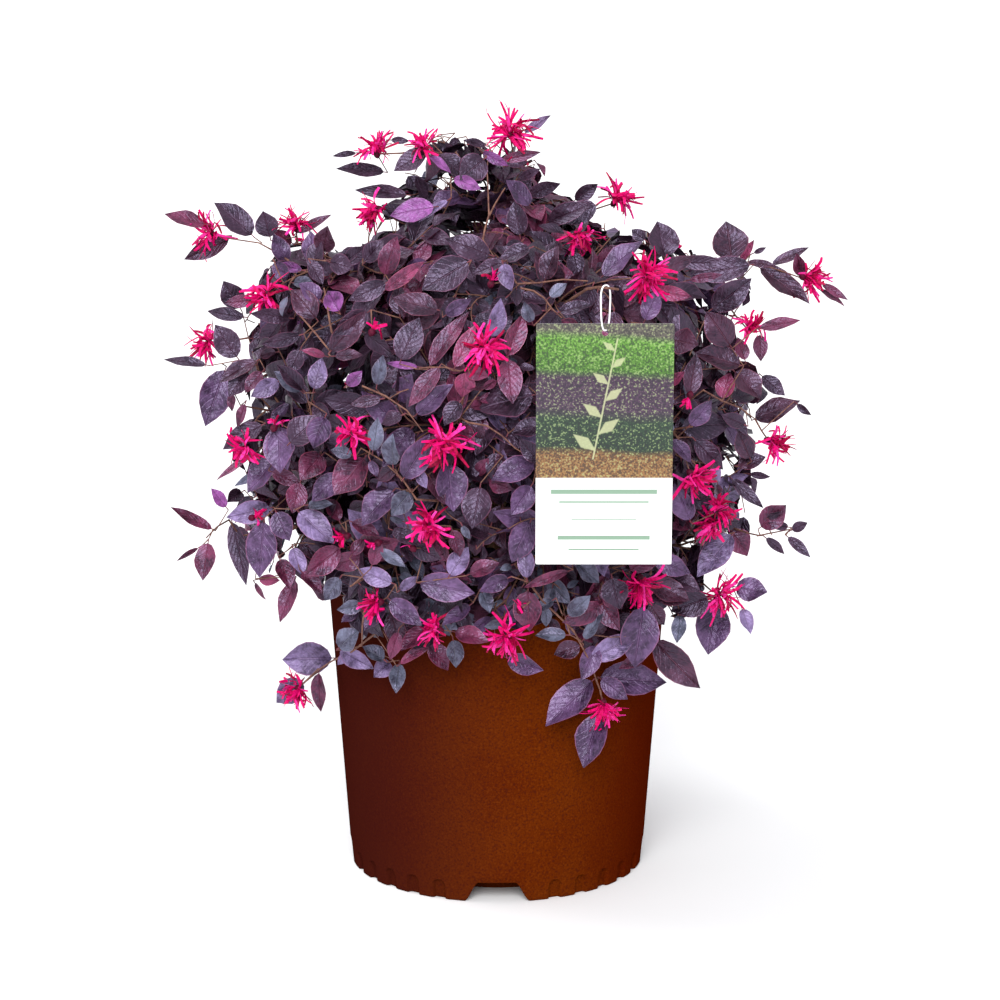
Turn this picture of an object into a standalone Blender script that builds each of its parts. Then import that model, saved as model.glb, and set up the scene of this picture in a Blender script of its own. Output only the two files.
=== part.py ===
"""Chinese fringe flower shrub with plum leaves and pink blossoms, in its brown nursery pot.

Metres, +Z up. The origin is the middle of the pot's flat underside. The front is -Y.
Azimuths are in degrees from the front, positive towards +X.
"""

import math
import random

import bmesh
import bpy
from mathutils import Matrix, Quaternion, Vector
from mathutils.bvhtree import BVHTree
from mathutils.geometry import intersect_point_line

OBJECT_NAME = "chinese_fringe_flower_shrub"
GAP = 0.0003

# Pot: a three gallon nursery pot
POT_HEIGHT = 0.235
FOOT_RADIUS = 0.120
WALL_FLARE = 0.0714
WALL = 0.0025
LIP_HEIGHT = 0.005
LIP_PROUD = 0.002
SKIRT_THICKNESS = 0.0066
SKIRT_HEIGHT = 0.018
PAD_RADIUS = 0.085
FLOOR = 0.003
POT_STEPS = 48
ARCH_STEP = 11.25
ARCH_OFFSETS = (-2, -1, 0, 1, 2)
ARCH_WIDTH = 0.0105
ARCH_HEIGHT = 0.016
ARCH_DEPTH = 0.0035
NOTCH_COUNT = 4
NOTCH_TOP_ANGLE = 7.2
NOTCH_FOOT_ANGLE = 12.3
NOTCH_HEIGHT = 0.016

# Potting mix
SOIL_TOP = 0.2145
SOIL_EDGE = 0.211
SOIL_CLEAR = 0.0007

# Trunk and boughs
TRUNK_FOOT = SOIL_TOP + GAP
TRUNK_TIP = 0.425
TRUNK_RADIUS = 0.0105
TRUNK_TIP_RADIUS = 0.0042
FLARE_RADIUS = 0.0085
FLARE_FALL = 0.009
LEAN = Vector((-0.010, 0.006, 0.0))
BOUGH_RADIUS = 0.0036
BOUGH_TIP_RADIUS = 0.0021
BOUGH_SHARE = 0.58

# Crown: a broad dome with a narrower peak
CROWN_RADIUS = 0.237
CROWN_WAIST = 0.38
DOME_RISE = 0.175
DOME_FALL = 0.22
PEAK_RADIUS = 0.108
PEAK_MIDDLE = 0.52
PEAK_RISE = 0.09
CROWN_FOOT = 0.172
CROWN_TOP = 0.606
DEPTH_SHARE = 0.95
SPIRAL = math.radians(137.508)

# Tiers of foliage: name, number, height, reach, first azimuth, bough foot low and high
TIERS = (
    ("upper", 5, 0.470, 0.122, 18.0, 0.335, 0.395),
    ("middle", 7, 0.385, 0.188, -8.0, 0.285, 0.325),
    ("lower", 8, 0.285, 0.186, 14.0, 0.238, 0.272),
)
TOP_HEIGHT = 0.540

# Twigs, leaves and blossoms
SEED = 7
STEM_RADIUS = 0.0019
TWIG_RADIUS = 0.0014
TWIG_TIP_RADIUS = 0.0009
CELL_MARGIN = 0.0006
LIMB_MARGIN = 0.0012
LEAF_LENGTH = 0.060
LEAF_WIDTH = 0.036
LEAF_HALF_THICKNESS = 0.0009
LEAF_WIDEST = 0.42
LEAF_ROOT = 0.0002
LEAF_RIDGE = 0.2
TIP_LEAF_BACK = 0.0016
LEAF_TRIES = 12
CROWN_SLACK = 0.006
LEAF_SLACK = 0.026
TOP_SLACK = 0.006
SHOOT_COUNT = 88
SHOOT_APART = 0.053
SHOOT_DEPTH = 0.87
BLOSSOM_RADIUS = 0.0195
BLOSSOM_CORE = 0.009
BACK_BLOSSOMS = 14

# Blossoms seen in front: azimuth, height, reach
FRONT_BLOSSOMS = (
    (-85, 0.517, 0.226), (-80, 0.527, 0.158), (-72, 0.584, 0.098), (-63, 0.590, 0.064),
    (-49, 0.538, 0.129), (19, 0.592, 0.032), (66, 0.546, 0.106), (23, 0.526, 0.156),
    (33, 0.497, 0.196), (86, 0.473, 0.257), (56, 0.462, 0.229), (-52, 0.483, 0.214),
    (-70, 0.441, 0.240), (-2, 0.459, 0.219), (-52, 0.372, 0.242), (-27, 0.392, 0.234),
    (-9, 0.387, 0.232), (-12, 0.329, 0.232), (59, 0.370, 0.245), (38, 0.352, 0.239),
    (42, 0.323, 0.237), (50, 0.312, 0.231), (28, 0.280, 0.232), (47, 0.256, 0.234),
    (-25, 0.263, 0.223), (-14, 0.247, 0.218), (2, 0.241, 0.216), (25, 0.170, 0.188),
    (-58, 0.176, 0.187),
)

# Long shoots that stand out of the crown: azimuth, height, reach
LONG_SHOOTS = (
    (-88, 0.520, 0.236), (-67, 0.312, 0.262), (-59, 0.290, 0.255), (58, 0.308, 0.262),
    (77, 0.512, 0.190), (52, 0.524, 0.160), (-66, 0.429, 0.256), (47, 0.205, 0.196),
    (61, 0.600, 0.036), (59, 0.440, 0.250), (-45, 0.240, 0.226), (24, 0.150, 0.187),
    (140, 0.470, 0.240), (-140, 0.340, 0.256), (172, 0.250, 0.240), (108, 0.300, 0.258),
)

# Hang tag and its loop
TAG_WIDTH = 0.098
TAG_HEIGHT = 0.175
TAG_THICKNESS = 0.0006
TAG_X = 0.0768
TAG_Y = -0.245
TAG_TOP = 0.478
TAG_CORNER = 0.001
TAG_HOLE = 0.0025
TAG_HOLE_DROP = 0.0065
LOOP_WIDTH = 0.014
LOOP_TUBE = 0.0006
TAG_TWIG_Z = 0.5035
TAG_TWIG_RADIUS = 0.0009
TAG_TWIG_AZIMUTH = 45.0


# Scene helpers

def clear_scene():
    """Removes what the scene holds at the start."""
    for obj in list(bpy.data.objects):
        bpy.data.objects.remove(obj, do_unlink=True)


def new_collection(name):
    """Adds a collection under the scene's own."""
    group = bpy.data.collections.new(name)
    bpy.context.scene.collection.children.link(group)
    return group


def material(name, colour, roughness, metallic=0.0):
    """Makes a plain surface from its colour, roughness and metallic value."""
    mat = bpy.data.materials.new(name)
    mat.use_nodes = True
    shader = mat.node_tree.nodes["Principled BSDF"]
    shader.inputs["Base Color"].default_value = (*colour, 1.0)
    shader.inputs["Roughness"].default_value = roughness
    shader.inputs["Metallic"].default_value = metallic
    return mat


def mesh_object(name, bm, group, smooth=False):
    """Turns a bmesh into a named object of the group."""
    mesh = bpy.data.meshes.new(name)
    bm.to_mesh(mesh)
    bm.free()
    if smooth:
        mesh.shade_smooth()
        mesh.set_sharp_from_angle(angle=math.radians(35))
    obj = bpy.data.objects.new(name, mesh)
    group.objects.link(obj)
    return obj


def finish(obj, mat, parent):
    """Gives an object its material and its parent."""
    obj.data.materials.clear()
    obj.data.materials.append(mat)
    obj.parent = parent
    return obj


def hide_guide(obj):
    """Marks a cutter as a guide that isn't part of the object."""
    obj.hide_render = True
    obj.display_type = "WIRE"
    return obj


def around(azimuth, reach, height):
    """The point at an azimuth, in degrees from the front, a reach and a height."""
    turn = math.radians(azimuth)
    return Vector((reach * math.sin(turn), -reach * math.cos(turn), height))


# Shapes

def turned(name, profile, steps, group):
    """A solid turned from a closed section that starts and ends on the axis."""
    mesh = bpy.data.meshes.new(name)
    corners = [(radius, 0.0, height) for radius, height in profile]
    edges = [(k, k + 1) for k in range(len(corners) - 1)]
    mesh.from_pydata(corners, edges, [])
    obj = bpy.data.objects.new(name, mesh)
    group.objects.link(obj)
    screw = obj.modifiers.new("turn", "SCREW")
    screw.axis = "Z"
    screw.angle = math.tau
    screw.steps = steps
    screw.render_steps = steps
    screw.use_merge_vertices = True
    screw.merge_threshold = 0.0001
    screw.use_smooth_shade = False
    return obj


def flat_plate(name, outlines, thickness, group):
    """A plate of even thickness in the XY plane; outlines after the first are holes."""
    curve = bpy.data.curves.new(name, "CURVE")
    curve.dimensions = "2D"
    curve.fill_mode = "BOTH"
    curve.extrude = thickness / 2
    for outline in outlines:
        spline = curve.splines.new("POLY")
        spline.points.add(len(outline) - 1)
        spline.use_cyclic_u = True
        for point, (x, y) in zip(spline.points, outline):
            point.co = (x, y, 0.0, 1.0)
    guide = bpy.data.objects.new(name + "_curve", curve)
    group.objects.link(guide)
    bpy.context.view_layer.update()
    graph = bpy.context.evaluated_depsgraph_get()
    mesh = bpy.data.meshes.new_from_object(guide.evaluated_get(graph))
    bpy.data.objects.remove(guide, do_unlink=True)
    bm = bmesh.new()
    bm.from_mesh(mesh)
    bpy.data.meshes.remove(mesh)
    bmesh.ops.remove_doubles(bm, verts=bm.verts, dist=0.00001)
    bmesh.ops.recalc_face_normals(bm, faces=bm.faces)
    return mesh_object(name, bm, group)


def ring_frames(points):
    """One frame per point: Z runs along the path, and X and Y turn as little as they can."""
    runs = [(b - a).normalized() for a, b in zip(points, points[1:])]
    heads = [runs[0]] + [(a + b).normalized() for a, b in zip(runs, runs[1:])] + [runs[-1]]
    turn = Vector((0, 0, 1)).rotation_difference(heads[0])
    frames = [Matrix.Translation(points[0]) @ turn.to_matrix().to_4x4()]
    for k in range(1, len(points)):
        turn = heads[k - 1].rotation_difference(heads[k]) @ turn
        frames.append(Matrix.Translation(points[k]) @ turn.to_matrix().to_4x4())
    return frames


def limb(name, points, radii, sides, group, smooth=False):
    """A closed tapering limb along a path, with a flat cap at each end."""
    frames = [f @ Matrix.Diagonal((r, r, 1.0, 1.0)) for f, r in zip(ring_frames(points), radii)]
    bm = bmesh.new()
    bmesh.ops.create_circle(bm, cap_ends=True, segments=sides, radius=1.0)
    bmesh.ops.transform(bm, matrix=frames[0], verts=bm.verts)
    bm.faces.ensure_lookup_table()
    foot = bm.faces[0]
    cap = foot
    for before, after in zip(frames, frames[1:]):
        grown = bmesh.ops.extrude_face_region(bm, geom=[cap])["geom"]
        if cap is not foot:
            bmesh.ops.delete(bm, geom=[cap], context="FACES_ONLY")
        cap = next(g for g in grown if isinstance(g, bmesh.types.BMFace))
        bmesh.ops.transform(bm, matrix=after @ before.inverted(), verts=cap.verts)
    bmesh.ops.recalc_face_normals(bm, faces=bm.faces)
    return mesh_object(name, bm, group, smooth)


def bent(start, control, end, count):
    """Points along one smooth bend from start to end, drawn towards the control point."""
    path = []
    for k in range(count):
        t = k / (count - 1)
        path.append(start * (1 - t) ** 2 + control * (2 * t * (1 - t)) + end * t * t)
    return path


def along(path, share):
    """The point and the direction at a share of a path's length."""
    lengths = [(b - a).length for a, b in zip(path, path[1:])]
    left = share * sum(lengths)
    for a, b, length in zip(path, path[1:], lengths):
        if left <= length or b is path[-1]:
            return a.lerp(b, min(1.0, left / length)), (b - a).normalized()
        left -= length
    return path[-1], (path[-1] - path[-2]).normalized()


# Pot and potting mix

def wall_radius(height):
    """Outer radius of the pot's wall."""
    return FOOT_RADIUS + WALL_FLARE * height


def build_pot(parts, cutters):
    """The pot: flared wall, small lip, raised channel, foot pad, arched recesses and notches."""
    top = POT_HEIGHT
    under_lip = top - LIP_HEIGHT
    channel_floor = SKIRT_HEIGHT + FLOOR
    profile = [
        (0.0, FLOOR),
        (PAD_RADIUS - 0.003, FLOOR),
        (PAD_RADIUS - 0.001, channel_floor),
        (wall_radius(channel_floor) - WALL, channel_floor),
        (wall_radius(top) - WALL, top),
        (wall_radius(top) + LIP_PROUD, top - 0.0006),
        (wall_radius(under_lip) + LIP_PROUD, under_lip),
        (wall_radius(under_lip), under_lip - 0.0006),
        (wall_radius(0.0015), 0.0015),
        (wall_radius(0.0) - 0.0012, 0.0),
        (FOOT_RADIUS - SKIRT_THICKNESS, 0.0),
        (wall_radius(SKIRT_HEIGHT) - SKIRT_THICKNESS, SKIRT_HEIGHT),
        (PAD_RADIUS + 0.002, SKIRT_HEIGHT),
        (PAD_RADIUS, 0.0),
        (0.0, 0.0),
    ]
    pot = turned("pot", profile, POT_STEPS, parts)
    foot_cutters = bpy.data.collections.new("foot_cutters")
    cutters.children.link(foot_cutters)
    for quarter in range(NOTCH_COUNT):
        facing = quarter * 360.0 / NOTCH_COUNT
        build_notch(facing, foot_cutters)
        for offset in ARCH_OFFSETS:
            build_arch(facing + 45.0 + offset * ARCH_STEP, foot_cutters)
    cut = pot.modifiers.new("foot", "BOOLEAN")
    cut.operation = "DIFFERENCE"
    cut.operand_type = "COLLECTION"
    cut.collection = foot_cutters
    cut.solver = "EXACT"
    return pot


def build_arch(azimuth, group):
    """Cutter for one arch-shaped recess in the foot of the wall."""
    half = ARCH_WIDTH / 2
    below = 0.002
    turns = [math.pi * k / 4 for k in range(5)]
    outline = [(half * math.cos(t), ARCH_HEIGHT - half + half * math.sin(t)) for t in turns]
    outline += [(-half, -below), (half, -below)]
    cutter = flat_plate("arch_cutter", [outline], 0.012, group)
    reach = FOOT_RADIUS - ARCH_DEPTH + 0.006
    cutter.matrix_world = (
        Matrix.Translation(around(azimuth, reach, 0.0))
        @ Matrix.Rotation(math.radians(azimuth), 4, "Z")
        @ Matrix.Rotation(math.radians(90), 4, "X")
    )
    return hide_guide(cutter)


def build_notch(azimuth, group):
    """Cutter for one drain notch right through the skirt, wider at its foot."""
    top = FOOT_RADIUS * math.sin(math.radians(NOTCH_TOP_ANGLE))
    foot = FOOT_RADIUS * math.sin(math.radians(NOTCH_FOOT_ANGLE))
    below = 0.002
    slope = (foot - top) / NOTCH_HEIGHT
    low = foot + slope * below
    outline = [(-low, -below), (low, -below), (top, NOTCH_HEIGHT), (-top, NOTCH_HEIGHT)]
    cutter = flat_plate("notch_cutter", [outline], 0.024, group)
    cutter.matrix_world = (
        Matrix.Translation(around(azimuth, FOOT_RADIUS - 0.001, 0.0))
        @ Matrix.Rotation(math.radians(azimuth), 4, "Z")
        @ Matrix.Rotation(math.radians(90), 4, "X")
    )
    return hide_guide(cutter)


def build_soil(parts):
    """The potting mix that fills the pot to just under its rim."""
    channel_floor = SKIRT_HEIGHT + FLOOR
    step = PAD_RADIUS - 0.001
    inner = wall_radius(channel_floor) - WALL
    profile = [
        (0.0, SOIL_TOP),
        (0.035, SOIL_TOP),
        (0.100, SOIL_EDGE + 0.001),
        (wall_radius(SOIL_EDGE) - WALL - SOIL_CLEAR, SOIL_EDGE),
        (inner - SOIL_CLEAR + WALL_FLARE * GAP, channel_floor + GAP),
        (step + SOIL_CLEAR, channel_floor + GAP),
        (step - 0.004, channel_floor + GAP),
        (step - 0.006, FLOOR + GAP),
        (0.0, FLOOR + GAP),
    ]
    return turned("potting_mix", profile, POT_STEPS // 2, parts)


# Trunk and boughs

def trunk_centre(height):
    """Middle of the trunk at a height, leaning more towards its tip."""
    share = max(0.0, min(1.0, (height - TRUNK_FOOT - 0.008) / (TRUNK_TIP - TRUNK_FOOT)))
    sway = 0.003 * math.sin(share * math.tau * 0.8)
    return Vector((LEAN.x * share + sway, LEAN.y * share - sway, height))


def trunk_radius(height):
    """Radius of the trunk, with its root flare."""
    share = (height - TRUNK_FOOT) / (TRUNK_TIP - TRUNK_FOOT)
    flare = FLARE_RADIUS * math.exp(-(height - TRUNK_FOOT) / FLARE_FALL)
    return TRUNK_RADIUS + (TRUNK_TIP_RADIUS - TRUNK_RADIUS) * share ** 0.9 + flare


def trunk_path():
    """Heights of the trunk's rings, closer together at the flare."""
    heights = [TRUNK_FOOT + h for h in (0.0, 0.006, 0.014, 0.026, 0.050, 0.085, 0.125, 0.170)]
    heights.append(TRUNK_TIP)
    return [trunk_centre(h) for h in heights], [trunk_radius(h) for h in heights]


def build_trunk(parts, cutters):
    """The trunk, and the slightly fatter copy that gives each bough its seat."""
    points, radii = trunk_path()
    trunk = limb("trunk", points, radii, 12, parts, smooth=True)
    seat = limb("bough_seat_cutter", points, [r + GAP for r in radii], 12, cutters)
    return trunk, hide_guide(seat)


class Mass:
    """One mass of foliage: its middle, its bough's path and its stem's path."""

    def __init__(self, name, centre, bough, stem):
        self.name = name
        self.centre = centre
        self.bough = bough
        self.stem = stem


def plan_masses():
    """Places every mass and works out its bough and stem."""
    tip = trunk_centre(TRUNK_TIP) + Vector((0, 0, GAP))
    top = Vector((-0.006, 0.0, TOP_HEIGHT))
    crest = Vector((0.004, -0.004, CROWN_TOP - 0.018))
    masses = [Mass("foliage_top", top, None, bent(tip, Vector((-0.010, 0.006, 0.50)), crest, 6))]
    for tier, count, height, reach, first, low, high in TIERS:
        for k in range(count):
            azimuth = first + 360.0 * k / count
            centre = around(azimuth, reach, height + 0.010 * math.sin(2.4 * k + reach * 40))
            foot_height = low + (high - low) * ((k * 0.618) % 1.0)
            foot = trunk_centre(foot_height)
            away = centre - foot
            tip = foot + away * BOUGH_SHARE + Vector((0, 0, 0.010))
            control = foot + away * (BOUGH_SHARE * 0.5) + Vector((0, 0, 0.016))
            bough = bent(foot, control, tip, 4)
            heading = (bough[-1] - bough[-2]).normalized()
            start = bough[-1] + heading * GAP
            end = centre + (centre - foot).normalized() * (0.22 * reach)
            end.z -= 0.014 if tier == "lower" else 0.004
            reach_out = (end - start).length
            stem = bent(start, start + heading * reach_out * 0.5, end, 5)
            masses.append(Mass("%s_%d" % (tier, k + 1), centre, bough, stem))
    return masses


def build_boughs(masses, parts, seat):
    """One tapering limb for each mass that doesn't stand on the trunk's tip."""
    boughs = []
    for mass in masses:
        if mass.bough is None:
            continue
        count = len(mass.bough)
        radii = []
        for k in range(count):
            radii.append(BOUGH_RADIUS + (BOUGH_TIP_RADIUS - BOUGH_RADIUS) * k / (count - 1))
        bough = limb("bough_" + mass.name, mass.bough, radii, 6, parts, smooth=True)
        cut = bough.modifiers.new("seat", "BOOLEAN")
        cut.operation = "DIFFERENCE"
        cut.object = seat
        cut.solver = "EXACT"
        boughs.append(bough)
    return boughs


# Crown

def crown_reach(height):
    """Radius of the crown's surface at a height."""
    if height > CROWN_WAIST:
        rise = min(1.0, (height - CROWN_WAIST) / DOME_RISE)
        dome = CROWN_RADIUS * (1.0 - rise ** 2.5) ** 0.4
    else:
        fall = min(1.0, (CROWN_WAIST - height) / DOME_FALL)
        dome = CROWN_RADIUS * (1.0 - fall ** 4) ** 0.25
    rise = abs(height - PEAK_MIDDLE) / PEAK_RISE
    peak = PEAK_RADIUS * math.sqrt(max(0.0, 1.0 - rise * rise))
    return max(dome, peak)


def crown_point(azimuth, height, depth):
    """A point at a share of the crown's reach."""
    point = around(azimuth, crown_reach(height) * depth, height)
    point.y *= DEPTH_SHARE
    return point


def crown_lattice(count):
    """Azimuths and heights spread evenly over the crown's surface, by a spiral."""
    steps = 200
    heights = [CROWN_TOP + (CROWN_FOOT - CROWN_TOP) * k / steps for k in range(steps + 1)]
    areas = [0.0]
    for high, low in zip(heights, heights[1:]):
        outer, inner = crown_reach(high), crown_reach(low)
        areas.append(areas[-1] + (outer + inner) * math.hypot(high - low, outer - inner))
    lattice = []
    k = 0
    for n in range(count):
        wanted = (n + 0.5) / count * areas[-1]
        while areas[k + 1] < wanted:
            k += 1
        share = (wanted - areas[k]) / (areas[k + 1] - areas[k])
        height = heights[k] + (heights[k + 1] - heights[k]) * share
        lattice.append((math.degrees(n * SPIRAL) % 360.0, height))
    return lattice


class Clearances:
    """Tells whether a point keeps to its mass's space and clear of all else."""

    def __init__(self, masses):
        self.centres = [mass.centre for mass in masses]
        self.runs = []
        points, radii = trunk_path()
        self.add_limb(points, max(radii[2:]))
        for mass in masses:
            if mass.bough:
                self.add_limb(mass.bough, BOUGH_RADIUS)

    def add_limb(self, points, radius):
        """Notes a limb's runs as rods of one radius."""
        for a, b in zip(points, points[1:]):
            self.runs.append((a, b, radius))

    def in_cell(self, point, own, margin):
        """Whether the point is nearer its own mass's middle than any other's."""
        centre = self.centres[own]
        for k, other in enumerate(self.centres):
            if k == own:
                continue
            apart = (other - centre).length
            edge = ((point - other).length_squared - (point - centre).length_squared)
            if edge / (2.0 * apart) < margin:
                return False
        return True

    def off_limbs(self, point, margin):
        """Whether the point is clear of trunk and boughs."""
        for a, b, radius in self.runs:
            near, share = intersect_point_line(point, a, b)
            near = a if share < 0 else b if share > 1 else near
            if (point - near).length < radius + margin:
                return False
        return True

    def off_pot(self, point, margin):
        """Whether the point is clear of the pot and what it holds."""
        if point.z > POT_HEIGHT + margin:
            return True
        return math.hypot(point.x, point.y) > wall_radius(POT_HEIGHT) + LIP_PROUD + margin

    def off_tag(self, point, margin):
        """Whether the point leaves the hang tag, its loop and the air before them free."""
        half = TAG_WIDTH / 2 + 0.003
        beside = abs(point.x - TAG_X) > half
        if not beside and point.y < TAG_Y + 0.004 + margin:
            if TAG_TOP - TAG_HEIGHT - 0.004 < point.z < TAG_TOP + 0.004:
                return False
        near_loop = abs(point.x - TAG_X) < 0.011 + margin and abs(point.y - TAG_Y) < 0.011 + margin
        return not (near_loop and TAG_TOP - 0.012 < point.z < TAG_TWIG_Z + 0.008)

    def in_crown(self, point, slack):
        """Whether the point is no further out than the crown's surface and some slack."""
        if point.z > CROWN_TOP + TOP_SLACK or point.z < CROWN_FOOT - slack:
            return False
        reach = crown_reach(max(CROWN_FOOT + 0.012, min(CROWN_TOP - 0.004, point.z)))
        return math.hypot(point.x, point.y / DEPTH_SHARE) < reach + slack

    def free(self, points, own, margin, slack):
        """Whether every point is clear."""
        for point in points:
            if not self.in_crown(point, slack):
                return False
            if not self.off_pot(point, margin + 0.002) or not self.off_tag(point, margin):
                return False
            if not self.in_cell(point, own, margin + CELL_MARGIN):
                return False
        return all(self.off_limbs(point, margin + LIMB_MARGIN) for point in points)


# Leaves and blossoms

def leaf_mesh():
    """One leaf: a flattened double pyramid of eight faces, widest before its middle."""
    bm = bmesh.new()
    bmesh.ops.create_uvsphere(bm, u_segments=4, v_segments=2, radius=1.0)
    for vert in bm.verts:
        x, y, z = vert.co
        share = LEAF_WIDEST + (x * (1.0 - LEAF_WIDEST) if x > 0 else x * LEAF_WIDEST)
        share = LEAF_RIDGE if abs(z) > 0.5 else share
        vert.co = (LEAF_LENGTH * share, y * LEAF_WIDTH / 2, z * LEAF_HALF_THICKNESS)
    bmesh.ops.recalc_face_normals(bm, faces=bm.faces)
    mesh = bpy.data.meshes.new("leaf")
    bm.to_mesh(mesh)
    bm.free()
    return mesh


def blossom_mesh():
    """One blossom: a ball of eight faces with each face drawn out into a petal point."""
    bm = bmesh.new()
    bmesh.ops.create_uvsphere(bm, u_segments=4, v_segments=2, radius=BLOSSOM_CORE)
    points = bmesh.ops.poke(bm, faces=bm.faces)["verts"]
    for vert in points:
        vert.co = vert.co.normalized() * BLOSSOM_RADIUS
    mesh = bpy.data.meshes.new("blossom")
    bm.to_mesh(mesh)
    bm.free()
    return mesh


def leaf_outline(matrix):
    """Points all over a leaf in its place, close enough together to test."""
    half = LEAF_WIDTH / 2
    middle = Vector((LEAF_LENGTH * LEAF_WIDEST, 0, 0))
    base, tip = Vector((LEAF_LENGTH * 0.12, 0, 0)), Vector((LEAF_LENGTH, 0, 0))
    left, right = middle + Vector((0, half, 0)), middle - Vector((0, half, 0))
    points = [base, middle, base.lerp(middle, 0.5), middle.lerp(tip, 0.33), middle.lerp(tip, 0.66)]
    for a, b in ((base, left), (left, tip), (tip, right), (right, base)):
        points += [a.lerp(b, k / 4) for k in range(4)]
        points.append(a.lerp(b, 0.5).lerp(middle, 0.5))
    return [matrix @ point for point in points]


def leaf_place(root, direction, facing):
    """Matrix of a leaf that starts at a point, runs one way and faces another."""
    x = direction.normalized()
    z = (facing - x * facing.dot(x)).normalized()
    y = z.cross(x)
    turn = Matrix((x, y, z)).transposed().to_4x4()
    return Matrix.Translation(root - x * LEAF_ROOT) @ turn


def jitter(rng, size):
    """A small seeded vector."""
    return Vector((rng.uniform(-size, size), rng.uniform(-size, size), rng.uniform(-size, size)))


class Grower:
    """Grows one mass: stem, shoots, leaves and blossoms, all in its own space."""

    def __init__(self, masses, clearances, leaf, blossom, group):
        self.masses = masses
        self.clearances = clearances
        self.leaf = leaf
        self.blossom = blossom
        self.group = group
        self.trees = []

    def place_tree(self, mesh, matrix):
        """A search tree of a mesh's faces in their place."""
        corners = [matrix @ vert.co for vert in mesh.vertices]
        return BVHTree.FromPolygons(corners, [tuple(face.vertices) for face in mesh.polygons])

    def put(self, name, mesh, matrix, tree):
        """Places a copy of a mesh among the pieces to be fused."""
        obj = bpy.data.objects.new(name, mesh)
        obj.matrix_world = matrix
        self.group.objects.link(obj)
        self.trees.append(tree)

    def grow(self, own, targets, parts, twigs=()):
        """Builds one mass from its targets, and from any twigs it already has."""
        rng = random.Random(SEED * 100 + own)
        mass = self.masses[own]
        count = len(mass.stem)
        radii = [STEM_RADIUS + (TWIG_RADIUS - STEM_RADIUS) * k / (count - 1) for k in range(count)]
        name = mass.name if mass.name.startswith("foliage") else "foliage_" + mass.name
        stem = limb(name, mass.stem, radii, 3, parts)
        self.trees = [self.place_tree(stem.data, Matrix.Identity(4))]
        bearers = [(mass.stem, (0.66, 0.84, 1.0), self.trees[0], CROWN_SLACK)]
        for twig in twigs:
            self.trees.append(self.place_tree(twig.data, Matrix.Identity(4)))
        for point, kind in targets:
            bearers += self.shoot(own, point, kind, rng)
        for path, shares, tree, slack in bearers:
            self.leaves_on(own, path, shares, tree, slack, rng)
        self.fuse(stem)
        return stem

    def shoot(self, own, point, kind, rng):
        """One twig from the stem to a target, with its blossom; tells where its leaves go."""
        stem = self.masses[own].stem
        beyond = math.hypot(point.x, point.y / DEPTH_SHARE) - crown_reach(point.z)
        slack = max(CROWN_SLACK, beyond + LEAF_SLACK, CROWN_FOOT - point.z + LEAF_SLACK)
        slack = CROWN_SLACK if kind == "leafy" else slack
        goal = point
        if kind == "blossom":
            goal = self.pull_in(point, own, BLOSSOM_RADIUS + CELL_MARGIN)
        starts = []
        for share in (0.15, 0.3, 0.45, 0.6, 0.75, 0.9):
            foot, heading = along(stem, share)
            starts.append((abs((goal - foot).normalized().dot(heading) - 0.62), share))
        foot, heading = along(stem, min(starts)[1])
        length = (goal - foot).length
        control = foot + heading * length * 0.40 + Vector((0, 0, 0.10 * length))
        bends = 4 if kind == "long" else 3
        for path in (bent(foot, control, goal, bends), [foot, goal]):
            tests = [along(path, share)[0] for share in (0.3, 0.45, 0.6, 0.75, 0.9, 1.0)]
            if self.clearances.free(tests, own, TWIG_RADIUS, slack):
                break
        else:
            return []
        last = len(path) - 1
        radii = [TWIG_RADIUS + (TWIG_TIP_RADIUS - TWIG_RADIUS) * k / last for k in range(last + 1)]
        twig = limb("twig", path, radii, 3, self.group)
        tree = self.place_tree(twig.data, Matrix.Identity(4))
        self.trees.append(tree)
        if kind == "blossom":
            turn = Quaternion((0, 0, 1), rng.uniform(0, math.tau)).to_matrix().to_4x4()
            place = Matrix.Translation(goal) @ turn
            self.put("blossom", self.blossom, place, self.place_tree(self.blossom, place))
            return [(path, (0.40, 0.62, 0.80), tree, slack - LEAF_SLACK / 2)]
        if kind == "long":
            return [(path, (0.40, 0.60, 0.80, 1.0), tree, slack)]
        return [(path, (0.40, 0.60, 0.80, 1.0), tree, slack)]

    def pull_in(self, point, own, margin):
        """Moves a point towards its mass's middle until it is clear of the next mass."""
        for k in range(12):
            moved = point.lerp(self.masses[own].centre, k * 0.05)
            if self.clearances.in_cell(moved, own, margin):
                return moved
        return point

    def leaves_on(self, own, path, shares, bearer, slack, rng):
        """Alternate leaves along a path; one that would leave the space is skipped."""
        side = rng.choice((-1, 1))
        for share in shares:
            side = -side
            root, heading = along(path, share)
            if share > 0.99:
                root = root - heading * TIP_LEAF_BACK
            outward = (root - Vector((0, 0, 0.33))).normalized()
            across = heading.cross(outward)
            if across.length < 0.2:
                across = heading.orthogonal()
            across.normalize()
            for attempt in range(LEAF_TRIES):
                wild = attempt / LEAF_TRIES
                lean = (0.25 if share > 0.99 else 0.95) * side * (1.0 - 0.5 * wild)
                direction = heading * (0.6 - 0.5 * wild) + across * lean
                direction += Vector((0, 0, -0.15)) + jitter(rng, 0.2 + 1.0 * wild)
                facing = outward + Vector((0, 0, 0.4)) + jitter(rng, 0.3 + 0.3 * wild)
                place = leaf_place(root, direction, facing)
                if not self.clearances.free(leaf_outline(place), own, 0.0004, slack):
                    continue
                tree = self.place_tree(self.leaf, place)
                others = (other for other in self.trees if other is not bearer)
                if any(tree.overlap(other) for other in others):
                    continue
                self.put("leaf", self.leaf, place, tree)
                break

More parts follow.
